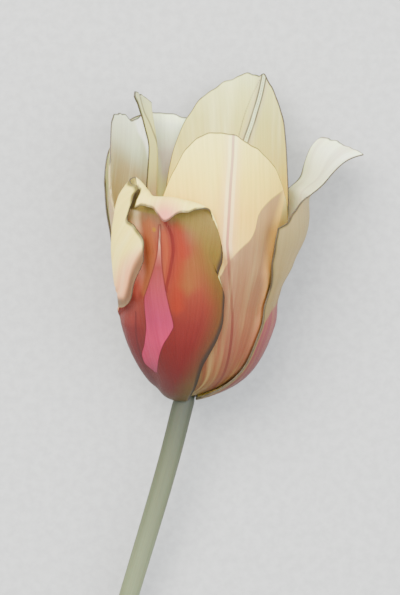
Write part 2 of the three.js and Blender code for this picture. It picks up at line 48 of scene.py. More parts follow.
CUP_RADIUS, CUP_FOOT, CUP_FOOT_RISE, CUP_FOOT_ROUND = 23.0, 43.0, 2.2, 1.95
CUP_SPREAD, SPREAD_STARTS, SPREAD_ENDS = 0.14, (22, 32), (46, 62)
FOOT_RADIUS, FOOT_RISE, FOOT_LENGTH, TEPAL_START = 2.6, 0.9, 3.0, 4.1
AXIS_SHIFT, AXIS_START, AXIS_RISE, AXIS_POWER = 4.9, 1.0, 4.0, 1.5
BLOOM_TILT = 8 * DEG
BLOOM_FOOT = (-2.880, 24.348, 17.826)
WAIST_DEPTH, WAIST_AZIMUTH, WAIST_EASE = 1.1, 95, (35, 75)
WAIST_STARTS, WAIST_ENDS = (23, 30), (33, 40)
PRESSED_SHARE, PRESSED_EASE, PRESSED_SLANT_MIN = 0.075, 0.02, 0.2
BEARING_LINES = (((-2.52, 43.35), (-2.72, 48.45)), ((-2.52, 43.35), (0.28, 42.85)),
                 ((11.38, 38.05), (11.88, 42.55)))
BEARING_CLEARANCE, BEARING_EASE = 0.15, (0.4, 2.6)
BLADE_THICKNESS, MARGIN_THICKNESS, LAYER_OFFSET = 0.9, 0.4, 0.75
THIN_SIDES, THIN_TOP = (0.8, 1), (0.85, 1)
WALL_STEP, FINE_WALL_STEP, FINE_WALL_END = 0.05, 0.004, 2
TABLE_STEP, TABLE_LENGTH = 0.25, 130
NARROWEST_WRAP, NORMAL_STEP = 4.5, 0.2
CORNER = (15, 45)
BLADE_CELLS = (128, 150)


def ease(start, end, x):
    """0 before start and 1 past end, with a soft step between them."""
    t = np.clip((np.asarray(x, float) - start) / (end - start), 0, 1)
    return t * t * (3 - 2 * t)


def through(stations, x):
    """A smooth curve through (x, y) stations, level beyond the first and the last."""
    xs, ys = np.asarray(stations, float).T
    slopes = np.diff(ys) / np.diff(xs)
    bends = np.concatenate([slopes[:1], slopes])
    before, after = slopes[:-1], slopes[1:]
    turning = before * after <= 0
    bends[1:-1] = np.where(turning, 0, 2 * before * after / np.where(turning, 1, before + after))
    x = np.clip(np.asarray(x, float), xs[0], xs[-1])
    i = np.clip(np.searchsorted(xs, x, side="right") - 1, 0, len(xs) - 2)
    wide = xs[i + 1] - xs[i]
    t = (x - xs[i]) / wide
    return ((1 + 2 * t) * (1 - t) ** 2 * ys[i] + t * (1 - t) ** 2 * wide * bends[i]
            + t * t * (3 - 2 * t) * ys[i + 1] + t * t * (t - 1) * wide * bends[i + 1])


def cup_wall():
    """The lengths along the cup wall, its leans there, and the height where it starts."""
    y, spread, length, start, before = 0.0, 0.0, 0.0, 0.0, None
    lengths, leans = [], []
    while length < TABLE_LENGTH + TABLE_STEP:
        foot = 1 - (max(CUP_FOOT - y, 0) / CUP_FOOT) ** CUP_FOOT_RISE
        r = CUP_RADIUS * foot ** (1 / CUP_FOOT_ROUND) + spread
        if r >= FOOT_RADIUS:
            if before is None:
                start = y
            else:
                run = math.hypot(y - before[0], r - before[1])
                lengths.append(length + run / 2)
                leans.append(math.atan2(r - before[1], y - before[0]))
                length += run
            before = (y, r)
        step = FINE_WALL_STEP if y < FINE_WALL_END else WALL_STEP
        spread += CUP_SPREAD * float(ease(*SPREAD_STARTS, y) * (1 - ease(*SPREAD_ENDS, y))) * step
        y += step
    return np.array(lengths), np.array(leans), start


WALL_LENGTHS, WALL_LEANS, WALL_START = cup_wall()


def profile_of(lean):
    """A tepal's side view as (h, radius, height), leaning out from the cup wall by (h, degrees)."""
    h = FOOT_LENGTH + np.arange(0, TABLE_LENGTH + TABLE_STEP, TABLE_STEP)
    angle = np.interp(h - FOOT_LENGTH, WALL_LENGTHS, WALL_LEANS) + through(lean, h) * DEG

    def run(slope, first):
        return first + np.concatenate([[0], np.cumsum((slope[1:] + slope[:-1]) / 2 * TABLE_STEP)])

    return h, run(np.sin(angle), FOOT_RADIUS), run(np.cos(angle), FOOT_RISE + WALL_START)


def pressed(azimuth):
    """Share of the radius left at an azimuth, where the table presses on the bloom."""
    off = np.abs(np.mod(azimuth, 2 * math.pi) - math.pi)
    flat = (1 - PRESSED_SHARE) / np.maximum(np.cos(off), PRESSED_SLANT_MIN)
    return 0.5 * (1 + flat - np.hypot(1 - flat, PRESSED_EASE))


def waist(azimuth, y):
    """How far the cup is drawn in on its right side."""
    off = np.abs(np.mod(azimuth / DEG - WAIST_AZIMUTH + 180, 360) - 180)
    height = ease(*WAIST_STARTS, y) * (1 - ease(*WAIST_ENDS, y))
    return WAIST_DEPTH * height * (1 - ease(*WAIST_EASE, off))


def wrap(tepal, a, h):
    """A flat sheet's points wrapped round the cup, in the bloom's own frame."""
    r = np.interp(h, tepal["profile"][0], tepal["profile"][1])
    y = np.interp(h, tepal["profile"][0], tepal["profile"][2])
    azimuth = through(tepal["azimuth"], h) * DEG + a / np.maximum(r, NARROWEST_WRAP)
    reach = r * pressed(azimuth) - waist(azimuth, y)
    axis = AXIS_SHIFT * (1 - np.exp(-(np.maximum(y - AXIS_START, 0) / AXIS_RISE) ** AXIS_POWER))
    return np.stack([axis + reach * np.sin(azimuth), y, reach * np.cos(azimuth)], -1)


def wrap_normal(tepal, a, h):
    """The outward direction of the wrapped sheet."""
    across = wrap(tepal, a + NORMAL_STEP, h) - wrap(tepal, a - NORMAL_STEP, h)
    along = wrap(tepal, a, h + NORMAL_STEP) - wrap(tepal, a, h - NORMAL_STEP)
    normal = np.cross(across, along)
    return normal / np.linalg.norm(normal, axis=-1, keepdims=True)


def rolled(fold, a, h):
    """The sheet with a margin rolled over a line: new place, lift, and how far past the line."""
    top = fold["side"] == "top"
    sign = -1 if fold["side"] == "left" else 1
    line = through(fold["line"], a if top else h)
    over = (h if top else sign * a) - line
    turn = fold["turn"](a, h) * DEG
    beyond = np.maximum(over, 0)
    bent = np.minimum(beyond / fold["radius"], turn)
    straight = beyond - bent * fold["radius"]
    on = line + fold["radius"] * np.sin(bent) + straight * np.cos(turn)
    rise = fold["radius"] * (1 - np.cos(bent)) + straight * np.sin(turn)
    if top:
        h = np.where(over > 0, on, h)
        a = a - fold["aside"](a) * straight
    else:
        a = np.where(over > 0, sign * on, a)
    return a, h, np.where(over > 0, rise * fold["out"], 0), over


def folded(tepal, a, h):
    """The sheet with its margins rolled: two folds that meet share the corner between them."""
    folds = [rolled(fold, a, h) for fold in tepal["folds"]]
    if not folds:
        return a, h, np.zeros_like(a)
    if len(folds) == 1:
        return folds[0][:3]
    left, top = folds
    share = ease(*CORNER, np.arctan2(top[3], left[3]) / DEG)
    return tuple(first + (second - first) * share for first, second in zip(left[:3], top[:3]))


def bearing_rise(x, y):
    """How far the pressed side stands off the table: nothing on the lines that it bears on."""
    distances = []
    for (x0, y0), (x1, y1) in BEARING_LINES:
        t = np.clip(((x - x0) * (x1 - x0) + (y - y0) * (y1 - y0))
                    / ((x1 - x0) ** 2 + (y1 - y0) ** 2), 0, 1)
        distances.append(np.hypot(x - x0 - t * (x1 - x0), y - y0 - t * (y1 - y0)))
    return BEARING_CLEARANCE * ease(*BEARING_EASE, np.min(distances, axis=0))


def in_row(points):
    """Points of the bloom's own frame in the frame that the flower lies in."""
    c, s = math.cos(BLOOM_TILT), math.sin(BLOOM_TILT)
    x, y, z = points[..., 0], points[..., 1], points[..., 2]
    return np.stack([x + BLOOM_FOOT[0], y * c - z * s + BLOOM_FOOT[1],
                     y * s + z * c + BLOOM_FOOT[2]], -1)


# Each tepal: the side of the cup wall it lies on, its place round the cup and its lean in degrees
# by h, its half widths by share of height, its height by share of width, its relief and folds, and
# the bands of its grid. What a tepal doesn't give is as here:
PLAIN = {
    "rests": False, "lean": [(0, 0), (130, 0)], "relief": lambda a, h: 0, "folds": (),
    "columns": [(-1, 1, 14)], "rows": [(0, 0.3, 6), (0.3, 1, 12)],
}
TEPALS = {}
# Front left: the left margin and the top are rolled outwards, and show the pale inside
TEPALS["tepal_outer_front"] = {
    "layer": 1,
    "azimuth": [(0, -27), (130, -27)],
    "left": [(0, 3), (0.05, 7.5), (0.1, 11.5), (0.2, 16.8), (0.3, 20), (0.42, 21.2), (0.52, 21.2),
        (0.58, 20.2), (0.63, 18.2), (0.67, 16.4), (0.69, 17.6), (0.71, 21.6), (0.76, 23.4),
        (0.83, 25.2), (0.9, 27), (0.96, 28.4), (1, 29.2)],
    "right": [(0, 3), (0.14, 4.6), (0.29, 7.8), (0.47, 14.2), (0.6, 16.8), (0.69, 17.3),
        (0.78, 16.4), (0.86, 17.6), (0.92, 17.9), (1, 16.3)],
    "top": [(-1, 55), (-0.973, 59.1), (-0.93, 61.2), (-0.87, 62.7), (-0.8, 63.9), (-0.7, 65.4),
        (-0.675, 66.4), (-0.66, 69.9), (-0.625, 71.4), (-0.58, 72.8), (-0.545, 74), (-0.45, 75),
        (-0.36, 75.8), (-0.28, 76.4), (-0.2, 77.2), (-0.15, 78), (-0.113, 78.2), (-0.09, 77.4),
        (-0.082, 78.4), (-0.072, 80.8), (-0.06, 79.2), (-0.048, 78.2), (-0.03, 77.1), (0, 76.3),
        (0.065, 76.7), (0.16, 78.5), (0.25, 80.1), (0.34, 79.1), (0.46, 76.8), (0.6, 75.4),
        (0.76, 73.2), (0.93, 68.6), (1, 62)],
    "relief": lambda a, h: 1.7 * ease(-7, -15, a) * ease(5, 14, h) * (1 - ease(33, 41, h)),
    "folds": [
        {
            "side": "left",
            "out": 1,
            "radius": 1.6,
            "turn": lambda a, h: 176 * ease(26, 32, h),
            "line": [(0, 30), (30, 25), (34, 20.5), (37, 17.2), (40, 14), (43, 13.2), (48, 13.3),
                (55, 13.2), (61, 12.2), (66, 10.8), (69, 10), (71, 9.2), (72.5, 8.3), (74, 7.1),
                (75.5, 5.8), (77, 4.6), (90, -6)],
        },
        {
            "side": "top",
            "out": 1,
            "radius": 1.8,
            "turn": lambda a, h: 155 * (1 - 0.35 * ease(9, 15, a)),
            "aside": lambda a: ease(-1, -4, a),
            "line": [(-60, 125), (-7.5, 76.5), (-6, 75.3), (-5, 74.8), (-4, 74), (-3, 73),
                (-2, 71.8), (-1, 70.6), (0, 70), (3.5, 70), (9.8, 69), (13.8, 67.6), (16, 65.5),
                (19, 62)],
        },
    ],
    "columns": [(-1, -0.4, 13), (-0.4, -0.12, 5), (-0.12, -0.02, 4), (-0.02, 1, 8)],
    "rows": [(0, 0.5, 9), (0.5, 0.8, 6), (0.8, 1, 11)],
}
# Right: leans out and twists at the top, where its pale inside faces up
TEPALS["tepal_outer_right"] = {
    "layer": 1,
    "azimuth": [(0, 92), (60, 95), (100, 100), (130, 100)],
    "lean": [(0, 0), (34.81, 0), (42.8, 0.1), (46.8, 7.2), (51.4, 11.5), (55.6, 19.4), (59.3, 10.9),
        (63.3, 0.6), (67.2, -5.5), (69.9, 9.8), (71.9, 44.9), (74.6, 55.3), (79.1, 43.6),
        (84.4, 54.6), (88.9, 72.8), (92.9, 81.9), (130, 81.9)],
    "left": [(0, 3), (0.09, 8), (0.18, 10.8), (0.27, 12), (0.4, 13.9), (0.5, 14.4), (0.6, 14.6),
        (0.66, 15), (0.75, 18.6), (0.84, 22.6), (0.94, 26), (1, 26.5)],
    "right": [(0, 3), (0.15, 9), (0.4, 16), (0.7, 17.5), (0.77, 16.2), (0.86, 14.8), (0.95, 17),
        (1, 16.5)],
    "top": [(-1, 63.8), (-0.85, 65), (-0.75, 67.3), (-0.62, 69.6), (-0.5, 71.4), (-0.35, 73.4),
        (-0.18, 76.2), (-0.1, 79), (-0.06, 83.5), (-0.03, 87.5), (0, 92), (0.1, 91.6), (0.32, 89.6),
        (0.67, 88.2), (0.92, 86.8), (1, 84)],
    "relief": lambda a, h: -0.45 * np.maximum(a, 0) * ease(76, 90, h),
    "columns": [(-1, -0.1, 8), (-0.1, 0.04, 4), (0.04, 1, 6)],
    "rows": [(0, 0.3, 6), (0.3, 1, 18)],
}
# Back: the one that the bloom lies on
TEPALS["tepal_outer_back"] = {
    "layer": 1,
    "rests": True,
    "azimuth": [(0, 198), (130, 198)],
    "left": [(0, 3), (0.15, 9), (0.4, 17), (0.7, 22.5), (1, 24)],
    "right": [(0, 3), (0.15, 9), (0.4, 17), (0.7, 23), (1, 26.5)],
    "top": [(-1, 60), (-0.92, 70), (-0.7, 82), (-0.4, 88.5), (-0.1, 90.8), (0, 91.4), (0.25, 92.2),
        (0.5, 90.8), (0.75, 85.6), (0.9, 81), (0.97, 77), (1, 73)],
    "relief": lambda a, h: 1.5 * ease(15, 26, a) * ease(30, 55, h),
}
# Front right, in the inner whorl
TEPALS["tepal_inner_front"] = {
    "layer": -1,
    "azimuth": [(0, 23), (130, 23)],
    "lean": [(0, 0), (60, 0), (90, -6), (130, -6)],
    "left": [(0, 3), (0.15, 9), (0.4, 17), (0.7, 23), (1, 24.5)],
    "right": [(0, 3), (0.15, 9), (0.4, 17), (0.7, 23), (1, 24)],
    "top": [(-1, 58), (-0.97, 66), (-0.87, 73), (-0.74, 79.4), (-0.59, 85.3), (-0.32, 89.6),
        (-0.12, 89.5), (0, 88.7), (0.1, 87.3), (0.35, 83.8), (0.62, 78.3), (0.78, 72.6), (0.93, 65),
        (1, 56)],
}
# Back, the tallest, with its tip drawn out to a point
TEPALS["tepal_inner_back"] = {
    "layer": -1,
    "azimuth": [(0, 148), (130, 148)],
    "left": [(0, 3), (0.15, 9), (0.4, 17), (0.7, 21), (1, 21)],
    "right": [(0, 3), (0.15, 9), (0.4, 17), (0.7, 23), (1, 26.5)],
    "top": [(-1, 66), (-0.96, 72), (-0.86, 84.5), (-0.76, 90.8), (-0.53, 97.8), (-0.38, 101.8),
        (-0.28, 103.6), (-0.2, 102.9), (-0.1, 103.6), (0, 103.6), (0.2, 102), (0.38, 99.6),
        (0.53, 96.9), (0.73, 90.7), (0.87, 82.3), (0.95, 74.5), (1, 67)],
}
# Left: its far margin is rolled inwards towards a ragged tip
TEPALS["tepal_inner_left"] = {
    "layer": -1,
    "azimuth": [(0, -98), (40, -99), (55, -104), (65, -113), (90, -124), (130, -124)],
    "left": [(0, 3), (0.15, 9), (0.4, 18.5), (0.6, 22), (0.68, 21.6), (0.77, 19.4), (0.86, 17),
        (0.92, 17), (0.97, 19), (1, 22.4)],
    "right": [(0, 3), (0.15, 9), (0.4, 18), (0.6, 22.5), (0.72, 23), (0.82, 18.5), (0.92, 15),
        (1, 14)],
    "top": [(-1, 97.6), (-0.95, 99), (-0.84, 98.6), (-0.8, 97.7), (-0.74, 97.9), (-0.66, 97.3),
        (-0.5, 95.3), (-0.36, 92.8), (-0.2, 90.5), (-0.1, 90.3), (0.1, 92.3), (0.5, 92.6),
        (0.8, 90.5), (1, 80)],
    "folds": [
        {
            "side": "left",
            "out": -1,
            "radius": 1.5,
            "turn": lambda a, h: 172 * ease(48, 68, h),
            "line": [(0, 22), (56, 18), (60, 15.8), (68, 13), (73, 11.9), (78, 10.9), (83, 9.6),
                (89, 8), (93, 7.3), (110, 6.5)],
        },
    ],
    "columns": [(-1, -0.35, 11), (-0.35, 1, 9)],
    "rows": [(0, 0.3, 6), (0.3, 1, 14)],
}


def spread(bands, share):
    """Stations along a blade for even shares of 0..1: closer together in the narrow bands."""
    stations = [bands[0][0]]
    for start, end, count in bands:
        stations += [start + (end - start) * i / count for i in range(1, count + 1)]
    return np.interp(share, np.linspace(0, 1, len(stations)), stations)


def sheet_of(tepal, u, v):
    """Place on the flat sheet at u = -1..1 across and v = 0..1 along, with the margin's ripples."""
    ripple = tepal["waves"]
    a = u * np.where(u < 0, through(tepal["left"], v), through(tepal["right"], v))
    h = TEPAL_START + v * (through(tepal["top"], u) - TEPAL_START)
    h = h + ease(0.8, 1, v) * ripple * (np.sin(u * 23 + 1) * 0.5 + np.sin(u * 41 + 2) * 0.3)
    a = a + (ease(0.85, 1, np.abs(u)) * ease(0.3, 0.6, v) * ripple
             * np.sin(v * 34 + 3 * np.sign(u)) * 0.6)
    return a, h


def middle_of(tepal, a, h):
    """The middle of the blade's thickness, in the frame that the flower lies in."""
    a, h, lift = folded(tepal, a, h)
    lift = lift + tepal["layer"] * LAYER_OFFSET + tepal["relief"](a, h)
    points = in_row(wrap(tepal, a, h) + wrap_normal(tepal, a, h) * lift[..., None])
    if tepal["rests"]:
        x, y = points[..., 0] - BLOOM_FOOT[0], points[..., 1] - BLOOM_FOOT[1]
        points[..., 2] = np.maximum(points[..., 2], bearing_rise(x, y) + BLADE_THICKNESS / 2)
    return points


# -------------------- finishes

BLADE_SPAN, WHOLE_SPAN = (0, 110), (0, 1)
# Cells over the blade's width, and along it over 100 mm
BROAD_STREAKS, FINE_VEINS = (9.0, 1.6), (60.0, 5.0)
SHADES = (0.93, 1.05)
PETAL_ROUGHNESS, PETAL_RELIEF = (0.42, 0.6), 0.00009


def linear(code):
    """An sRGB hex colour as linear RGBA."""
    parts = [int(code[i:i + 2], 16) / 255 for i in (1, 3, 5)]
    return [p / 12.92 if p <= 0.04045 else ((p + 0.055) / 1.055) ** 2.4 for p in parts] + [1]


def add(tree, kind, inputs=None, **settings):
    """A node with its settings, and its inputs as values or links."""
    node = tree.nodes.new(kind)
    for key, value in settings.items():
        setattr(node, key, value)
    for key, value in (inputs or {}).items():
        if isinstance(value, bpy.types.NodeSocket):
            tree.links.new(value, node.inputs[key])
        else:
            node.inputs[key].default_value = value
    return node


def attribute(tree, name):
    return add(tree, "ShaderNodeAttribute", attribute_name=name).outputs["Fac"]


def ramp(tree, value, stations, span):
    """A colour ramp through (place, hex colour) stations over span = (start, end)."""
    start, end = span
    place = add(tree, "ShaderNodeMapRange", {"Value": value, "From Min": start, "From Max": end})
    node = add(tree, "ShaderNodeValToRGB", {"Fac": place.outputs["Result"]})
    elements = node.color_ramp.elements
    while len(elements) < len(stations):
        elements.new(0.5)
    for element, (at, code) in zip(elements, stations):
        element.position = (at - start) / (end - start)
        element.color = linear(code)
    return node.outputs["Color"]


def between(tree, value, start, end, low=0.0, high=1.0):
    """A soft step of a value, from low at start to high at end."""
    node = add(tree, "ShaderNodeMapRange", {
        "Value": value, "From Min": start, "From Max": end, "To Min": low, "To Max": high,
    }, interpolation_type="SMOOTHSTEP")
    return node.outputs["Result"]


def mixed(tree, factor, first, second, blend="MIX"):
    node = add(tree, "ShaderNodeMixRGB", {"Fac": factor, "Color1": first, "Color2": second},
               blend_type=blend)
    return node.outputs["Color"]


def shaded(tree, colour, shade):
    grey = add(tree, "ShaderNodeCombineColor", {"Red": shade, "Green": shade, "Blue": shade})
    return mixed(tree, 1.0, colour, grey.outputs[0], "MULTIPLY")


def maths(tree, operation, *values):
    return add(tree, "ShaderNodeMath", dict(enumerate(values)), operation=operation).outputs[0]


def streaks(tree, across, along):
    place = add(tree, "ShaderNodeCombineXYZ", {
        "X": maths(tree, "MULTIPLY", attribute(tree, "across"), across),
        "Y": maths(tree, "MULTIPLY", attribute(tree, "h"), along / 100),
        "Z": attribute(tree, "seed"),
    })
    noise = add(tree, "ShaderNodeTexNoise", {
        "Vector": place.outputs[0], "Scale": 1.0, "Detail": 3.0, "Roughness": 0.6,
    })
    return noise.outputs["Fac"]


def grain(tree, per_mm, detail=2.0):
    """Fine even noise with so many cells to the millimetre."""
    noise = add(tree, "ShaderNodeTexNoise", {
        "Vector": add(tree, "ShaderNodeTexCoord").outputs["Object"],
        "Scale": per_mm / MM, "Detail": detail, "Roughness": 0.6,
    })
    return noise.outputs["Fac"]


def surface(tree, colour, roughness, height, depth, **constants):
    """Ends a material, with its relief in metres."""
    bump = add(tree, "ShaderNodeBump", {"Height": height, "Distance": depth, "Strength": 1.0})
    shader = add(tree, "ShaderNodeBsdfPrincipled", {
        "Base Color": colour, "Roughness": roughness, "Normal": bump.outputs["Normal"],
        **{key.replace("_", " "): value for key, value in constants.items()},
    })
    add(tree, "ShaderNodeOutputMaterial", {"Surface": shader.outputs["BSDF"]})


def new_material(name):
    material = bpy.data.materials.new(name)
    material.use_nodes = True
    material.node_tree.nodes.clear()
    return material, material.node_tree


def tepal_finish(name, stations, layers, vein):
    """Petal skin: colours along the blade, laid-over zones, drawn-out veins and a fine grain.

    The eye sees satin with soft streaks. A layer is (attribute, start, end, hex colour or stations,
    amount): it shows where the attribute has passed from start to end.
    """
    material, tree = new_material(name)
    colour = ramp(tree, attribute(tree, "h"), stations, BLADE_SPAN)
    for source, start, end, paint, amount in layers:
        if isinstance(paint, str):
            top = linear(paint)
        else:
            top = ramp(tree, attribute(tree, "h"), paint, BLADE_SPAN)
        reached = between(tree, attribute(tree, source), start, end)
        colour = mixed(tree, maths(tree, "MULTIPLY", reached, amount), colour, top)
    # Broad soft streaks and fine veins: both run with the blade and close up towards its foot
    broad = streaks(tree, *BROAD_STREAKS)
    fine = streaks(tree, *FINE_VEINS)
    paint, most = vein
    colour = mixed(tree, between(tree, broad, 0.45, 0.8, 0, most), colour, linear(paint))
    colour = shaded(tree, colour, between(tree, fine, 0.3, 0.7, *SHADES))
    cells = grain(tree, 3.0)
    height = maths(tree, "ADD", maths(tree, "MULTIPLY", fine, 0.75),
                   maths(tree, "MULTIPLY", cells, 0.25))
    surface(tree, colour, between(tree, cells, 0.2, 0.8, *PETAL_ROUGHNESS), height, PETAL_RELIEF,
            Subsurface_Weight=0.12, Subsurface_Scale=0.0015, Specular_IOR_Level=0.12)
    return material


def cut_edge_finish():
    """The thin edge of a petal: dull and dark, so that it draws a fine line round the blade."""
    material, tree = new_material("petal_cut_edge")
    fleck = grain(tree, 1.5)
    colour = mixed(tree, between(tree, fleck, 0.3, 0.7), linear("#352e22"), linear("#4e422d"))
    surface(tree, colour, 0.6, fleck, 0.00005)
    return material


# -------------------- building

SMOOTH_UP_TO = 50 * DEG
MERGE_WITHIN = 2e-6
SEED_STEP = 7.3


def write(mesh, name, values):
    layer = mesh.attributes.new(name, "FLOAT", "POINT")
    layer.data.foreach_set("value", np.asarray(values, np.float32).ravel())


def pick(*objects):
    bpy.ops.object.select_all(action="DESELECT")
    for obj in objects:
        obj.select_set(True)
    bpy.context.view_layer.objects.active = objects[0]


def grid(name, columns, rows):
    """A grid primitive, and its u = -1..1 and v = 0..1 shares."""
    bpy.ops.mesh.primitive_grid_add(x_subdivisions=columns, y_subdivisions=rows, size=2)
    obj = bpy.context.object
    obj.name = obj.data.name = name
    flat = np.empty(len(obj.data.vertices) * 3)
    obj.data.vertices.foreach_get("co", flat)
    flat = flat.reshape(-1, 3)
    return obj, flat[:, 0], (flat[:, 1] + 1) / 2


def move_to(obj, points):
    obj.data.vertices.foreach_set("co", (points * MM).astype(np.float32).ravel())
    obj.data.update()


def settle(obj, node, slot, *finishes):
    """Completes a piece: its finishes, its rest on the table, and its place in the frame."""
    for finish in finishes:
        obj.data.materials.append(finish)
    pick(obj)
    # What the flower lies on is pressed flat by the table
    for vertex in obj.data.vertices:
        vertex.co.z = max(vertex.co.z, 0.0)
    bpy.ops.object.shade_smooth_by_angle(angle=SMOOTH_UP_TO)
    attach(obj, "root")
    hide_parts(node)


def thicken(obj, u, v):
    """Gives a blade its thickness, thinner towards its margin."""
    margin = np.maximum(ease(*THIN_SIDES, np.abs(u)), ease(*THIN_TOP, v))
    group = obj.vertex_groups.new(name="body")
    for index, share in enumerate(margin):
        group.add([index], float(1 - share), "REPLACE")
    pick(obj)
    wall = obj.modifiers.new("wall", "SOLIDIFY")
    wall.thickness, wall.offset = BLADE_THICKNESS * MM, 0
    wall.vertex_group = "body"
    wall.thickness_vertex_group = MARGIN_THICKNESS / BLADE_THICKNESS
    wall.material_offset, wall.material_offset_rim = 1, 2
    bpy.ops.object.modifier_apply(modifier=wall.name)
    obj.vertex_groups.clear()


def build_tepal(name, tepal, number, finishes):
    """A petal: a grid wrapped into its place, painted by attributes and given its thickness."""
    obj, across, along = grid(name + "_blade", *BLADE_CELLS)
    u = spread(tepal["columns"], (across + 1) / 2)
    v = spread(tepal["rows"], along)
    a, h = sheet_of(tepal, u, v)
    move_to(obj, middle_of(tepal, a, h))
    side = np.where(u < 0, through(tepal["left"], v), through(tepal["right"], v))
    write(obj.data, "a", a)
    write(obj.data, "h", h)
    write(obj.data, "across", u * 0.5)
    write(obj.data, "edge", np.minimum((1 - np.abs(u)) * side, (1 - v) * through(tepal["top"], u)))
    write(obj.data, "seed", np.full_like(a, number * SEED_STEP))
    for zone, rule in tepal["zones"].items():
        write(obj.data, zone, rule(a, h))
    for finish in finishes:
        obj.data.materials.append(finish)
    thicken(obj, u, v)
    settle(obj, name, name.split("_")[1] + "_tepal")


# -------------------- markings on the petals

def past(stations):
    """How far across the blade a point lies past a line given as (h, a) stations."""
    return lambda a, h: a - through(stations, h)


def leftwards(stations):
    """How far a point lies past a line to the left, given as (h, distance) stations."""
    return lambda a, h: -a - through(stations, h)


def fading(stations, clear, widening):
    """Like past, but the change grows softer on the far side of clear."""
    return lambda a, h: (a - through(stations, h)) / (1 + widening * np.maximum(a - clear, 0))


def off_line(stations, first=-99, last=999):
    """Distance from a line given as (h, a) stations, between two heights on the blade."""
    def rule(a, h):
        return np.abs(a - through(stations, h)) + np.maximum(first - h, 0) + np.maximum(h - last, 0)
    return rule


def inside(left, right, first, last):
    """How deep a point lies inside a patch between two lines of (h, a) stations."""
    def rule(a, h):
        across = np.minimum(a - through(left, h), through(right, h) - a)
        return np.minimum(across, np.minimum(h - first, last - h))
    return rule


def below(stations):
    """How far a point lies below a line given as (a, h) stations."""
    return lambda a, h: through(stations, a) - h


def near(a0, h0):
    return lambda a, h: np.hypot(a - a0, h - h0)


MIDDLE = past([(0, 0), (130, 0)])
RIM = ("edge", 0.6, 0.15, "#201c18", 0.85)

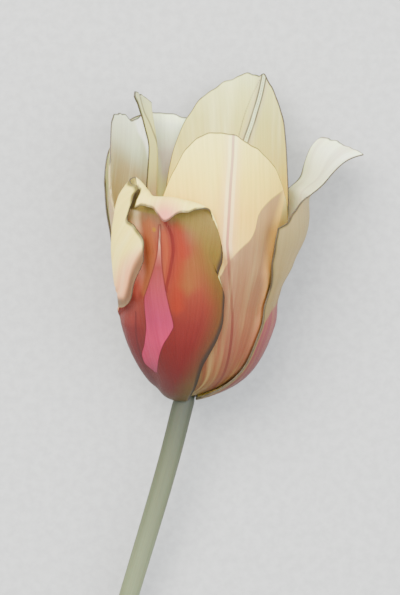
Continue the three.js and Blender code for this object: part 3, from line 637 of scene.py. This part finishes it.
# Each petal: the depth of its margin's ripples, the zones of its skin, and its two finishes
LOOKS = {}
LOOKS["tepal_outer_front"] = {
    "waves": 0.25,
    "zones": {
        "sunlit_patch": inside(
            [(18.6, -7.2), (20.7, -9.5), (22.2, -10.4), (24, -10.4), (28.3, -8.3), (33.9, -6.4),
             (41.9, -5.7), (46.5, -3.6), (51.7, -1.3), (56, 0.1), (60, 0.75), (64, 1.05)],
            [(18.6, -6.4), (24, -4.1), (28.7, -1.6), (32.7, 1.3), (34.9, 2.4), (39.9, 1.9),
             (46.9, 1.3), (53.6, 1.0), (64, 1.3)],
            18.6, 64,
        ),
        "streak": off_line([(46.3, 1.8), (49, 2.7), (51.8, 3.5), (54.7, 4.2), (57.6, 4.7),
            (60.6, 4.6), (63, 3.9), (64.7, 3.0), (70, 1.6)], 45, 72),
        "ember": off_line([(46, 1.6), (55, 2.9), (62, 2.4)], 46, 62),
        "coral": off_line([(36, 3.5), (44, 4.6), (50, 5.6), (56, 6.8), (62, 6.4)], 40, 64),
        "tan": off_line([(44, 7.5), (50, 9), (56, 10.5), (60, 11)], 47, 54),
        "amber": off_line([(46, -4.5), (54, -2.8), (62, -2)], 44, 64),
        "crease_shade": off_line([(13.1, -8.8), (18.6, -10.5), (23.4, -10.9), (27.6, -10.9),
            (32.2, -10.5), (37.2, -9.9)], 13, 38),
        "verge": past([(13.9, 2.4), (19.8, 5.7), (25.6, 9), (30.7, 12.1), (36.1, 14.4),
            (40.8, 15.6), (45, 15.2), (49.2, 14.3), (53.8, 13.5), (57.8, 12.5), (61.5, 11.3),
            (64.2, 9.0), (66, 6.5), (68.5, -12)]),
        "rightward": MIDDLE,
        "spot": near(-0.5, 62.7),
        "notch": near(4.4, 79.5),
        "tip": near(-6.5, 77.5),
        "painted_light_by_flap": inside(
            [(40, -40), (80, -40)],
            [(42, -8), (46, -5.4), (52, -3.8), (60, -3.8), (66, -4.4), (70, -4.4), (76, -2)],
            42, 82,
        ),
        "free": leftwards([(36, 5), (42, 10), (48, 14), (54, 19), (58, 24), (63, 31)]),
    },
    # Satin dark coral with an olive side, over painted light and shade: a crimson patch of painted
    # sunlight, painted shade along the crease, and painted light beside the flap
    "outside": {
        "stations": [(4, "#413820"), (8, "#402820"), (12, "#421b19"), (20, "#4a1514"),
            (28, "#4f1614"), (35, "#551a16"), (41, "#612319"), (46, "#692c1c"), (52, "#6d301f"),
            (58, "#702f21"), (62, "#6f3a2d"), (66, "#6a4a30"), (70, "#6b5d3c"), (80, "#655436")],
        "layers": [
            # The left side: darker purple-red low down, partly own colour and partly painted shade;
            # lighter from h 38 to 66, painted light that makes up for the flap's shade
            ("rightward", -5, -12, [(6, "#372a22"), (14, "#3f1d1d"), (24, "#471a1c"),
                (33, "#521d1c"), (38, "#702e27"), (43, "#9e4537"), (50, "#a1563b"), (56, "#a05632"),
                (61, "#896641"), (66, "#8b774d")], 0.9),
            ("amber", 3.5, 0.5, "#7b4425", 0.75),
            # Painted light near the flap: lighter colours that make up for the flap's shade there
            ("painted_light_by_flap", -0.6, 2.6, [(42, "#b05040"), (46, "#c86450"), (50, "#e49478"),
                (57, "#f0a880"), (61, "#d09c70"), (66, "#b49c68"), (69, "#dcc898"), (72, "#fff6e0"),
            ], 0.85),
            ("coral", 3.4, 0.2, "#742211", 0.75),
            ("tan", 5.0, 0.0, "#6b3d1c", 0.85),
            ("ember", 1.8, 0.4, "#7f371d", 0.7),
            ("streak", 1.6, 0.9, "#671f18", 0.5),
            ("streak", 0.7, 0.25, "#541614", 0.8),
            # Painted shade along the crease
            ("crease_shade", 0.5, 0.15, "#351618", 0.5),
            # Painted sunlight: the crimson patch, ringed by a dark painted shadow edge, narrowing
            # at its top to a pale painted highlight
            ("sunlit_patch", -0.6, -0.1, "#3f171b", 0.6),
            ("sunlit_patch", -0.12, 0.12, [(18, "#612636"), (24, "#87253f"), (30, "#8f2141"),
                (36, "#81223e"), (42, "#81273a"), (47, "#7d2d34"), (52, "#712e2b"),
                (54.5, "#844037"), (57, "#985c49"), (60, "#b3886e"), (61.5, "#be9978"),
                (63, "#985f45"), (64, "#804731")], 1.0),
            ("spot", 0.9, 0.3, "#805a12", 0.8),
            ("verge", -5.0, 2.2, [(10, "#41381d"), (24, "#402b1a"), (36, "#452f12"),
                (46, "#4c380e"), (56, "#584814"), (66, "#6a5927")], 0.92),
            RIM,
            ("tip", 3.2, 2.6, "#d6c770", 1.0),
        ],
        "vein": ("#3e1714", 0.24),
    },
    # Smooth straw yellow, blushed with rose where the flap turns over
    "inside": {
        "stations": [(4, "#b2a146"), (20, "#cbb753"), (40, "#dbc664"), (60, "#dec85f"),
            (80, "#decb61")],
        "layers": [
            ("notch", 8.0, 1.0, "#c35d60", 0.85),
            ("free", 0.0, 8.0, "#ca6b5a", 0.75),
            ("edge", 1.0, 0.3, "#201c18", 0.85),
            ("tip", 3.2, 2.6, "#d6c770", 1.0),
        ],
        "vein": ("#fcfcb3", 0.3),
    },
}
LOOKS["tepal_outer_right"] = {
    "waves": 0.3,
    "zones": {
        "sunlit_rose": fading([(12, -15.5), (30, -14.8), (32.2, -14.1), (34, -13.5), (36.1, -11.8),
            (37.8, -9.2), (39.4, -2.8), (41, 8), (43, 30)], -9, 4),
    },
    # Satin olive and tan, with a dull rose left side: the rose is partly the petal's own colour and
    # partly painted sunlight, with a sharp painted edge to the shaded olive
    "outside": {
        "stations": [(4, "#544725"), (12, "#533f27"), (24, "#5d4a31"), (36, "#6b5837"),
            (48, "#7a673d"), (60, "#837248"), (68, "#8b7a50"), (90, "#9e926a")],
        "layers": [
            # Painted sunlight on the rose side, sharp-edged against the olive in shade
            ("sunlit_rose", -0.4, 0.4, [(4, "#4f3020"), (14, "#4b2223"), (22, "#572529"), (32, "#672b32"),
                (42, "#6f3337")], 0.95),
            ("edge", 1.0, 0.5, "#6b5d32", 0.8),
            RIM,
        ],
        "vein": ("#9c8755", 0.3),
    },
    # Milky cream, pale as wax, with faint grey streaks
    "inside": {
        "stations": [(4, "#af9a44"), (40, "#fff2dc"), (56, "#fffaf0"), (66, "#fcfcd4"),
            (74, "#d5d5a7"), (92, "#e6eed6")],
        "layers": [("edge", 4.0, 0.5, "#e5edb8", 0.6), RIM],
        "vein": ("#a58e7f", 0.4),
    },
}
LOOKS["tepal_outer_back"] = {
    "waves": 0.3,
    "zones": {
        "rightward": MIDDLE,
        "paler": past([(60, 4.5), (70, 3.6), (76, 3.8), (80, 4.6), (92, 6.0)]),
    },
    # Satin brick red that fades to olive at the sides and the tip
    "outside": {
        "stations": [(4, "#544725"), (12, "#4e2520"), (26, "#591e1a"), (40, "#732c22"),
            (54, "#823f27"), (66, "#7d5033"), (78, "#77603e"), (92, "#685d32")],
        "layers": [
            ("rightward", -6, -18, [(6, "#403124"), (28, "#572724"), (48, "#713829"),
                (68, "#786543")], 0.6),
            ("rightward", 6, 18, [(6, "#4c3820"), (28, "#55251c"), (48, "#673a22"),
                (68, "#735f38")], 0.6),
            ("edge", 6.0, 0.5, "#645623", 0.85),
            RIM,
        ],
        "vein": ("#4b1d18", 0.25),
    },
    # Soft straw yellow under a milky top edge, with a band of painted grey shade below that edge,
    # which stops at a line near the middle
    "inside": {
        "stations": [(4, "#af9a49"), (30, "#bba957"), (60, "#c5b560"), (69, "#bdb466"),
            (74, "#9f937b"), (80, "#a69c87"), (85, "#b7bf9e"), (92, "#dee9cf")],
        "layers": [
            ("paler", -0.8, 0.8, [(60, "#c4b55d"), (72, "#c8c275"), (80, "#c2cba3"),
                (92, "#d6e1cc")], 0.8),
            ("edge", 4.0, 0.4, "#e9f6c4", 0.85),
            RIM,
        ],
        "vein": ("#5c564c", 0.5),
    },
}
LOOKS["tepal_inner_front"] = {
    "waves": 0.25,
    "zones": {
        "painted_shadow": below([(-12, 42), (-4.3, 49.2), (-2.7, 52.4), (-0.2, 55.4), (2.2, 57.6),
            (4.1, 59.1), (5.7, 62), (6.5, 65.7), (9.2, 68.7), (12.9, 70.7), (17.4, 72), (24, 74)]),
        "midrib": off_line([(7.6, 5.1), (11.8, 1.8), (14.5, 1.4), (22.6, 1.3), (29.4, 1.1),
            (35.8, 0.7), (41.9, -0.3), (48, -1.4), (53.8, -2.2), (59.6, -2.9), (68, -2.7),
            (76, -2.1), (84, -1.2), (90, -0.7)], 7, 90),
        "fold": past([(12.8, 8.9), (17.7, 8.3), (21.4, 9.9), (28.3, 11.0), (34.7, 12.4),
            (37.5, 13.9), (43.4, 14.5), (49.8, 12.9), (55.6, 13.5), (58.4, 13.9), (62.7, 15.5),
            (70, 19), (78, 24)]),
    },
    # Golden cream with a dark red midrib; its lower part is brown under a painted shadow
    "outside": {
        "stations": [(4, "#635023"), (30, "#c2a452"), (50, "#caa650"), (66, "#d3ab40"),
            (76, "#dac04c"), (90, "#ded473")],
        "layers": [
            # Painted shadow: a dark line at its edge, then brown below it
            ("painted_shadow", -0.45, -0.15, "#5e4e3b", 0.6),
            ("painted_shadow", -0.1, 0.25, [(5, "#53451e"), (10, "#4f3519"), (16, "#57311c"), (26, "#643424"),
                (36, "#6c412a"), (46, "#714c32"), (56, "#7a593c"), (66, "#8c6c44"), (74, "#927349"),
            ], 0.97),
            # Painted light and shade at the margin: a bright gold band up to the line, and past it
            # dark olive like the shaded petal beside it
            ("fold", -4.5, -0.4, [(8, "#655736"), (20, "#805844"), (30, "#9d6446"), (40, "#ad7949"),
                (50, "#bf8e4c"), (60, "#cfa04f"), (70, "#dab64e"), (80, "#e0c259")], 0.8),
            ("fold", 0.0, 0.3, [(8, "#544625"), (24, "#533926"), (40, "#6b5634"), (60, "#856b42"),
                (70, "#bcaa5c")], 0.9),
            ("midrib", 4.2, 0.8, [(10, "#4b2d1c"), (30, "#63392a"), (53, "#754e39"),
                (57, "#c38a67"), (72, "#dda77f"), (90, "#dac490")], 0.4),
            ("midrib", 1.7, 1.1, [(10, "#583424"), (54, "#754c37"), (57, "#e0c48d"),
                (90, "#f0f0a4")], 0.45),
            ("midrib", 0.55, 0.3, [(7, "#49271b"), (34, "#54251e"), (50, "#613428"),
                (54, "#714535"), (58, "#9e6251"), (70, "#a9775c"), (90, "#b49678")], 0.9),
            RIM,
        ],
        "vein": ("#f6f28e", 0.1),
    },
    # Smooth straw yellow with a pinkish midrib
    "inside": {
        "stations": [(4, "#977830"), (20, "#bfa93d"), (50, "#dac55c"), (90, "#e4e380")],
        "layers": [("midrib", 2.2, 0.3, "#ce9975", 0.5), RIM],
        "vein": ("#f7fb91", 0.25),
    },
}
LOOKS["tepal_inner_back"] = {
    "waves": 0.4,
    "zones": {
        "midrib": off_line([(6, 0), (30, 2.6), (50, 4.2), (66, 4.3), (76, 2.8), (84, 0.3),
            (88.5, -1.6), (92.8, -3.2), (97.2, -4.8), (103, -6.4)]),
        "pleat_shade": off_line([(76, 5.2), (86, 2.6), (92, 0.6), (98, -2.2), (103, -5.4)], 74, 102),
    },
    # Brown at the foot, khaki above, with a dark midrib
    "outside": {
        "stations": [(4, "#53451e"), (14, "#5d3724"), (34, "#704530"), (56, "#927249"),
            (80, "#b3a860"), (104, "#c9c983")],
        "layers": [("midrib", 3.0, 0.5, "#62342e", 0.7), RIM],
        "vein": ("#d0c471", 0.35),
    },
    # Golden cream, greyer at the tip, with a dark-edged pale midrib
    "inside": {
        "stations": [(4, "#a47e30"), (20, "#bfa93d"), (50, "#d8b955"), (70, "#d6b848"),
            (80, "#bfb15f"), (90, "#b9b468"), (98, "#c0c079"), (106, "#cad497")],
        "layers": [
            ("midrib", 3.4, 1.2, "#a6987f", 0.5),
            ("midrib", 1.5, 1.0, [(40, "#aa9c4c"), (76, "#a49063"), (86, "#453f3a"),
                (104, "#3c3733")], 0.85),
            ("midrib", 0.75, 0.45, [(40, "#cdbd5e"), (80, "#c8c87b"), (88, "#cbd5a5")], 0.9),
            ("midrib", 0.25, 0.1, [(40, "#aa9c4c"), (76, "#9e8b62"), (86, "#524a45"),
                (104, "#524a45")], 0.7),
            # Painted shade along a pleat, as a dark line
            ("pleat_shade", 0.4, 0.1, "#5f5546", 0.6),
            RIM,
        ],
        "vein": ("#fbfcbf", 0.3),
    },
}
LOOKS["tepal_inner_left"] = {
    "waves": 0.25,
    "zones": {
        "gleam": past([(60, -16), (72.1, -13.5), (78.2, -10.6), (83.4, -7.8), (87.1, -4.8),
            (91, -3.2)]),
        "shade": below([(-18, 71), (-11.9, 72.8), (-7.5, 77.8), (-2.5, 80.9), (3.5, 84.1),
            (10.8, 86.7), (16, 88)]),
        "tuck": off_line([(82, -13.0), (85.8, -13.4), (88.7, -13.8), (93.3, -15.9),
            (98, -18)], 82, 98),
    },
    # Brown at the foot, dusty cream above, with one dark crease
    "outside": {
        "stations": [(4, "#53451e"), (14, "#5d3724"), (34, "#725039"), (56, "#967c54"),
            (68, "#9c7f5a"), (76, "#b4ad68"), (88, "#c0c079"), (100, "#b7bf99")],
        "layers": [("tuck", 0.7, 0.2, "#665b48", 0.7), RIM],
        "vein": ("#cacf89", 0.35),
    },
    # Dusty tan in the shade, nearly white where light catches it
    "inside": {
        "stations": [(4, "#a0824b"), (30, "#a28957"), (60, "#a49069"), (72, "#ae9d77"),
            (80, "#b7bf99"), (88, "#d2d9ba"), (99, "#eaf7dd")],
        "layers": [
            ("shade", -1.5, 6, [(40, "#a28957"), (66, "#a38e5b"), (76, "#a49063"),
                (88, "#a69c7f")], 0.85),
            ("gleam", 1.0, -0.8, "#fcfcf8", 0.9),
            RIM,
        ],
        "vein": ("#eefcd1", 0.35),
    },
}

cut_edge = cut_edge_finish()
for number, (name, look) in enumerate(LOOKS.items()):
    tepal = {**PLAIN, **TEPALS[name], **look}
    tepal["profile"] = profile_of(tepal["lean"])
    skin = name.replace("tepal_", "petal_")
    build_tepal(name, tepal, number, [
        tepal_finish(skin + "_outside", **look["outside"]),
        tepal_finish(skin + "_inside", **look["inside"]),
        cut_edge,
    ])


# -------------------- stem, stamens and pistil

RIB_COUNT, RIB_TURN = 9, 1
CURVE_STEPS = 60
X, Y, Z = Vector((1, 0, 0)), Vector((0, 1, 0)), Vector((0, 0, 1))


def tube(name, stations, sides):
    """A closed surface round a line: each station is (centre, across, up, section(angle) in mm)."""
    obj, across, along = grid(name, sides, len(stations) - 1)
    rows = np.rint(along * (len(stations) - 1)).astype(int)
    angle = (across + 1) * math.pi
    points = np.empty((len(rows), 3))
    for index, (centre, side, up, section) in enumerate(stations):
        here = rows == index
        x, y = section(angle[here])
        points[here] = np.array(centre) + np.outer(x, np.array(side)) + np.outer(y, np.array(up))
    move_to(obj, points)
    write(obj.data, "along", along)
    write(obj.data, "turn", angle)
    pick(obj)
    bpy.ops.object.mode_set(mode="EDIT")
    bpy.ops.mesh.select_all(action="SELECT")
    bpy.ops.mesh.remove_doubles(threshold=MERGE_WITHIN)
    bpy.ops.mesh.normals_make_consistent(inside=False)
    bpy.ops.object.mode_set(mode="OBJECT")
    return obj


def round_section(radius, ribs=0, depth=0.0, count=1):
    """A ring with lobes and fine ribs, whose depths are shares of its radius."""
    def section(angle):
        fine = ribs * np.cos(RIB_COUNT * angle + RIB_TURN)
        r = radius * (1 + depth * np.cos(count * angle) + fine)
        return r * np.cos(angle), r * np.sin(angle)
    return section


def upright(height, section):
    """A station of a small piece, modelled straight up the Y axis."""
    return Y * float(height), X, -Z, section


def placed(obj, matrix):
    """Moves a small piece to its place by a matrix in millimetres."""
    scaled = matrix.copy()
    scaled.translation = matrix.translation * MM
    obj.data.transform(scaled)
    obj.data.update()


def curve_through(points, count):
    """Evenly spaced points along a centripetal Catmull-Rom curve."""
    p = [np.array(q, float) for q in points]
    p = [2 * p[0] - p[1]] + p + [2 * p[-1] - p[-2]]
    line = []
    for i in range(1, len(p) - 2):
        gaps = [np.linalg.norm(p[i + k] - p[i + k - 1]) ** 0.5 for k in (0, 1, 2)]
        t1 = ((p[i] - p[i - 1]) / gaps[0] - (p[i + 1] - p[i - 1]) / (gaps[0] + gaps[1])
              + (p[i + 1] - p[i]) / gaps[1])
        t2 = ((p[i + 1] - p[i]) / gaps[1] - (p[i + 2] - p[i]) / (gaps[1] + gaps[2])
              + (p[i + 2] - p[i + 1]) / gaps[2])
        t1, t2 = t1 * gaps[1], t2 * gaps[1]
        for t in np.linspace(0, 1, CURVE_STEPS, endpoint=False):
            line.append((2 * t ** 3 - 3 * t ** 2 + 1) * p[i] + (t ** 3 - 2 * t ** 2 + t) * t1
                        + (3 * t ** 2 - 2 * t ** 3) * p[i + 1] + (t ** 3 - t ** 2) * t2)
    line = np.array(line + [p[-2]])
    run = np.concatenate([[0], np.cumsum(np.linalg.norm(np.diff(line, axis=0), axis=1))])
    even = np.linspace(0, run[-1], count)
    return np.stack([np.interp(even, run, line[:, k]) for k in range(3)], -1)


def plain_finish(name, stations, per_mm, depth, lines, roughness=(0.45, 0.65)):
    """Plant skin: dull and faintly striped, coloured along the piece, with a fine grain."""
    material, tree = new_material(name)
    colour = ramp(tree, attribute(tree, "along"), stations, WHOLE_SPAN)
    cells = grain(tree, per_mm, 3.0)
    place = add(tree, "ShaderNodeCombineXYZ", {
        "X": maths(tree, "SINE", attribute(tree, "turn")),
        "Y": maths(tree, "COSINE", attribute(tree, "turn")),
        "Z": attribute(tree, "along"),
    })
    stripes = add(tree, "ShaderNodeTexNoise", {
        "Vector": place.outputs[0], "Scale": 7.0, "Detail": 3.0,
    })
    shade = between(tree, stripes.outputs["Fac"], 0.3, 0.7, 1 - lines, 1 + lines)
    shade = maths(tree, "MULTIPLY", shade, between(tree, cells, 0.25, 0.75, *SHADES))
    surface(tree, shaded(tree, colour, shade), between(tree, cells, 0.2, 0.8, *roughness), cells,
            depth, Subsurface_Weight=0.1, Subsurface_Scale=0.001)
    return material


# How far left of, down from and under the bloom's foot the stem runs, from the bloom to its end
STEM_REACH = ((0, 0), (4.8, 18.9), (15.1, 53.9), (28.6, 98), (43.5, 143.5))
STEM_SINK = (0, 2.5, 7.6, 13.4, 0)
STEM_STEPS, STEM_SIDES, STEM_RIBS = 140, 36, 0.012
NECK_RADIUS, CUT_RADIUS, NECK_START = 3.1, 2.7, 0.2
REST_HEIGHT = CUT_RADIUS * math.cos(math.pi / 12) + 0.02
LEVEL_SHARE, LEVEL_RISE = 0.35, 0.1
# The cut end as (share of the radius, depth): a shallow hollow inside a firm rim
CUT_END = ((0.004, 0.5), (0.3, 0.45), (0.62, 0.3), (0.8, 0.08), (0.93, 0.0), (0.985, 0.06),
           (1, 0.2))
# The receptacle as (height, radius), and the height that the pieces inside stand on
HEART = ((-0.6, 3.1), (0.2, 3.06), (0.9, 3.0), (2.1, 3.0), (2.6, 2.95), (2.82, 2.7), (2.9, 2.4),
         (2.9, 1.2), (2.9, 0.01))
HEART_SLANT, HEART_TOP = 8 * DEG, 3.2

FOOT = Vector(BLOOM_FOOT)
IN_BLOOM = Matrix.Translation(FOOT) @ Matrix.Rotation(BLOOM_TILT, 4, "X")
IN_HEART = (IN_BLOOM @ Matrix.Translation(Vector((HEART_TOP * math.tan(HEART_SLANT), HEART_TOP, 0)))
            @ Matrix.Rotation(-HEART_SLANT, 4, "Z"))


def stem_stations():
    """The stem from its cut end up to the receptacle, which leans into the bloom."""
    centres = [[FOOT.x - left, FOOT.y - down, FOOT.z - sink]
               for (left, down), sink in zip(STEM_REACH, STEM_SINK)]
    centres[-1][2] = REST_HEIGHT
    level = [c + (d - c) * LEVEL_SHARE for c, d in zip(centres[-1], centres[-2])]
    level[2] = REST_HEIGHT + LEVEL_RISE
    line = curve_through(list(reversed(centres[:-1] + [level, centres[-1]])), STEM_STEPS + 1)
    for i, centre in enumerate(line[:-2]):
        tangent = Vector(line[i + 1] - line[max(i - 1, 0)]).normalized()
        side = Vector((tangent.y, -tangent.x, 0)).normalized()
        up = tangent.cross(side).normalized()
        widened = float(ease(NECK_START, 1, i / STEM_STEPS))
        radius = CUT_RADIUS + (NECK_RADIUS - CUT_RADIUS) * widened
        middle = Vector(centre)
        if i == 0:
            stations = [(middle + tangent * sunk, side, up, round_section(radius * share))
                        for share, sunk in CUT_END]
        else:
            stations.append((middle, side, up, round_section(radius, STEM_RIBS)))
    turned = IN_BLOOM.to_3x3()
    side = (turned @ Vector((math.cos(HEART_SLANT), -math.sin(HEART_SLANT), 0))).normalized()
    up = (turned @ -Z).normalized()
    for height, radius in HEART:
        centre = IN_BLOOM @ Vector((height * math.tan(HEART_SLANT), height, 0))
        stations.append((centre, side, up, round_section(radius)))
    return stations


# Smooth waxy stem skin: pale grey-green below, deeper green under the bloom
stem = tube("stem_stalk", stem_stations(), STEM_SIDES)
settle(stem, "stem", "stem", plain_finish("stem_skin", [
    (0.0, "#869259"), (0.045, "#869259"), (0.05, "#67714b"), (0.5, "#5f6744"), (0.66, "#555d3f"),
    (0.82, "#43492f"), (0.93, "#292e1b"), (0.975, "#222515"), (1.0, "#373c1f"),
], 4.0, 0.00004, 0.08))

# The pistil as (height, radius at its widest, depth of its lobes)
PISTIL_RINGS = ((0, 1.1, 0.02), (1.4, 1.7, 0.08), (6.9, 3, 0.12), (13.8, 3, 0.12), (18.4, 2.4, 0.1),
                (19.8, 2.5, 0.2), (21.4, 4.3, 0.34), (22.5, 3.7, 0.3), (23, 2, 0.2))
PISTIL_HEIGHT, PISTIL_STEPS, PISTIL_SIDES, PISTIL_LOBES = 23, 70, 72, 3
HOLLOW_RIM, HOLLOW_FLOOR, HOLLOW_RADIUS, HOLLOW_LOBES = 22.6, 22.3, 0.9, 0.2
POINT = 0.01


def pistil_stations():
    """The three-sided ovary under its three-lobed stigma, which is hollow at its middle."""
    radii = [(height, radius) for height, radius, _ in PISTIL_RINGS]
    depths = [(height, depth) for height, _, depth in PISTIL_RINGS]
    stations = [upright(0, round_section(POINT))]
    for height in np.linspace(0, PISTIL_HEIGHT, PISTIL_STEPS):
        lobes = float(through(depths, height))
        radius = float(through(radii, height)) / (1 + lobes)
        stations.append(upright(height, round_section(radius, depth=lobes, count=PISTIL_LOBES)))
    rim = round_section(HOLLOW_RADIUS, depth=HOLLOW_LOBES, count=PISTIL_LOBES)
    return stations + [upright(HOLLOW_RIM, rim), upright(HOLLOW_FLOOR, round_section(POINT))]


# Firm pale green ovary under a downy yellow stigma
pistil = tube("pistil_ovary", pistil_stations(), PISTIL_SIDES)
placed(pistil, IN_HEART)
settle(pistil, "pistil", "pistil", plain_finish("pistil_skin", [
    (0.0, "#a3ad62"), (0.6, "#b3bc74"), (0.85, "#c6c47c"), (0.9, "#e2d388"), (1.0, "#ecdf9c"),
], 5.0, 0.00006, 0.06))

# The filament as (height, radius)
FILAMENT = ((0, 0.45), (5.6, 0.8), (12.8, 0.45), (16, 0.45))
FILAMENT_LENGTH, FILAMENT_STEPS, FILAMENT_SIDES, FILAMENT_RIBS = 16, 34, 20, 0.02
FILAMENT_POINT = 0.004
ANTHER_START, ANTHER_LENGTH, ANTHER_WIDTH, ANTHER_DEPTH = 15, 13, 3.0, 1.9
ANTHER_STEPS, ANTHER_SIDES, ANTHER_TIP, ANTHER_FULLNESS = 48, 40, 0.004, 0.45
STAMENS, STAMEN_SEAT, STAMEN_LEAN = 6, (0, 0.13, 2.15), 17 * DEG


def anther_section(swell):
    """A flat pollen sac with a seam down each side."""
    def section(angle):
        seam = 1 - 0.2 * np.abs(np.sin(angle)) ** 6 - 0.1 * np.abs(np.cos(angle)) ** 30
        return (ANTHER_WIDTH / 2 * swell * seam * np.cos(angle),
                ANTHER_DEPTH / 2 * swell * seam * np.sin(angle))
    return section


filament_line = [upright(0, round_section(FILAMENT_POINT))]
for height in np.linspace(0, FILAMENT_LENGTH, FILAMENT_STEPS):
    radius = float(through(FILAMENT, height))
    filament_line.append(upright(height, round_section(radius, FILAMENT_RIBS)))
filament_line.append(upright(FILAMENT_LENGTH, round_section(FILAMENT_POINT)))
anther_line = []
for share in np.linspace(0, 1, ANTHER_STEPS):
    swell = math.sin(math.pi * (ANTHER_TIP + (1 - 2 * ANTHER_TIP) * share)) ** ANTHER_FULLNESS
    anther_line.append(upright(ANTHER_START + share * ANTHER_LENGTH, anther_section(swell)))
# Pale waxy filament, which darkens towards the anther
filament_skin = plain_finish("filament_skin", [(0, "#cfc77e"), (0.7, "#b9a868"), (1, "#6d5560")],
                             6.0, 0.00003, 0.08)
# Dark purple anther under a dry, matt dust of pollen
pollen = plain_finish("anther_pollen", [(0, "#3a2a3c"), (0.5, "#4a3444"), (1, "#33263a")],
                      7.0, 0.00012, 0.15, (0.75, 0.95))
model = tube("stamen_model", filament_line, FILAMENT_SIDES)
model.data.materials.append(filament_skin)
anther = tube("anther_model", anther_line, ANTHER_SIDES)
anther.data.materials.append(pollen)
pick(model, anther)
bpy.ops.object.join()
for i in range(STAMENS):
    stamen = model.copy()
    stamen.data = model.data.copy()
    stamen.name = stamen.data.name = f"stamen_{i + 1}_piece"
    bpy.context.collection.objects.link(stamen)
    placed(stamen, IN_HEART @ Matrix.Rotation(2 * math.pi * (i + 0.5) / STAMENS, 4, "Y")
           @ Matrix.Translation(STAMEN_SEAT) @ Matrix.Rotation(STAMEN_LEAN, 4, "X"))
    settle(stamen, f"stamen_{i + 1}", "stamen")
bpy.data.objects.remove(model)


# -------------------- the place where it lies

FLOOR_SIZE, FLOOR_DROP = 6.0, 0.00002
LAMP_AIM = (0, 0.05, 0)
SKY_COLOUR, SKY_STRENGTH = "#eceff2", 2.1
LENS, SENSOR_WIDTH, NEAREST, FARTHEST = 146.04, 36, 0.01, 10
CAMERA_FROM_FOOT = (4.64, 29.725, 700)

bpy.ops.mesh.primitive_plane_add(size=FLOOR_SIZE, location=(0, 0, -FLOOR_DROP))
floor = bpy.context.object
floor.name = "floor"
# Pale grey paper, dull, with a soft mottle of fibres
material, tree = new_material("pale_paper")
fibre = grain(tree, 0.4, 4.0)
paper = mixed(tree, between(tree, fibre, 0.3, 0.7), linear("#9c9d9c"), linear("#a6a7a6"))
surface(tree, paper, 0.85, fibre, 0.00003)
floor.data.materials.append(material)


def lamp(name, place, size, power, colour):
    """A round soft lamp, in metres and watts, turned towards the flower."""
    data = bpy.data.lights.new(name, "AREA")
    data.shape, data.size, data.energy = "DISK", size, power
    data.color = linear(colour)[:3]
    obj = bpy.data.objects.new(name, data)
    obj.location = place
    obj.rotation_euler = (Vector(LAMP_AIM) - Vector(place)).to_track_quat("-Z", "Y").to_euler()
    bpy.context.collection.objects.link(obj)


lamp("key", (-0.42, 0.6, 1.1), size=1.0, power=46, colour="#fffbf4")
lamp("fill", (0.7, 0.0, 1.0), size=1.4, power=25, colour="#f8faff")
world = bpy.data.worlds.new("studio")
bpy.context.scene.world = world
world.use_nodes = True
world.node_tree.nodes["Background"].inputs["Color"].default_value = linear(SKY_COLOUR)
world.node_tree.nodes["Background"].inputs["Strength"].default_value = SKY_STRENGTH

camera_data = bpy.data.cameras.new("camera")
camera_data.lens, camera_data.sensor_width = LENS, SENSOR_WIDTH
camera_data.clip_start, camera_data.clip_end = NEAREST, FARTHEST
camera = bpy.data.objects.new("camera", camera_data)
camera.location = [(foot + step) * MM for foot, step in zip(BLOOM_FOOT, CAMERA_FROM_FOOT)]
bpy.context.collection.objects.link(camera)
bpy.context.scene.camera = camera
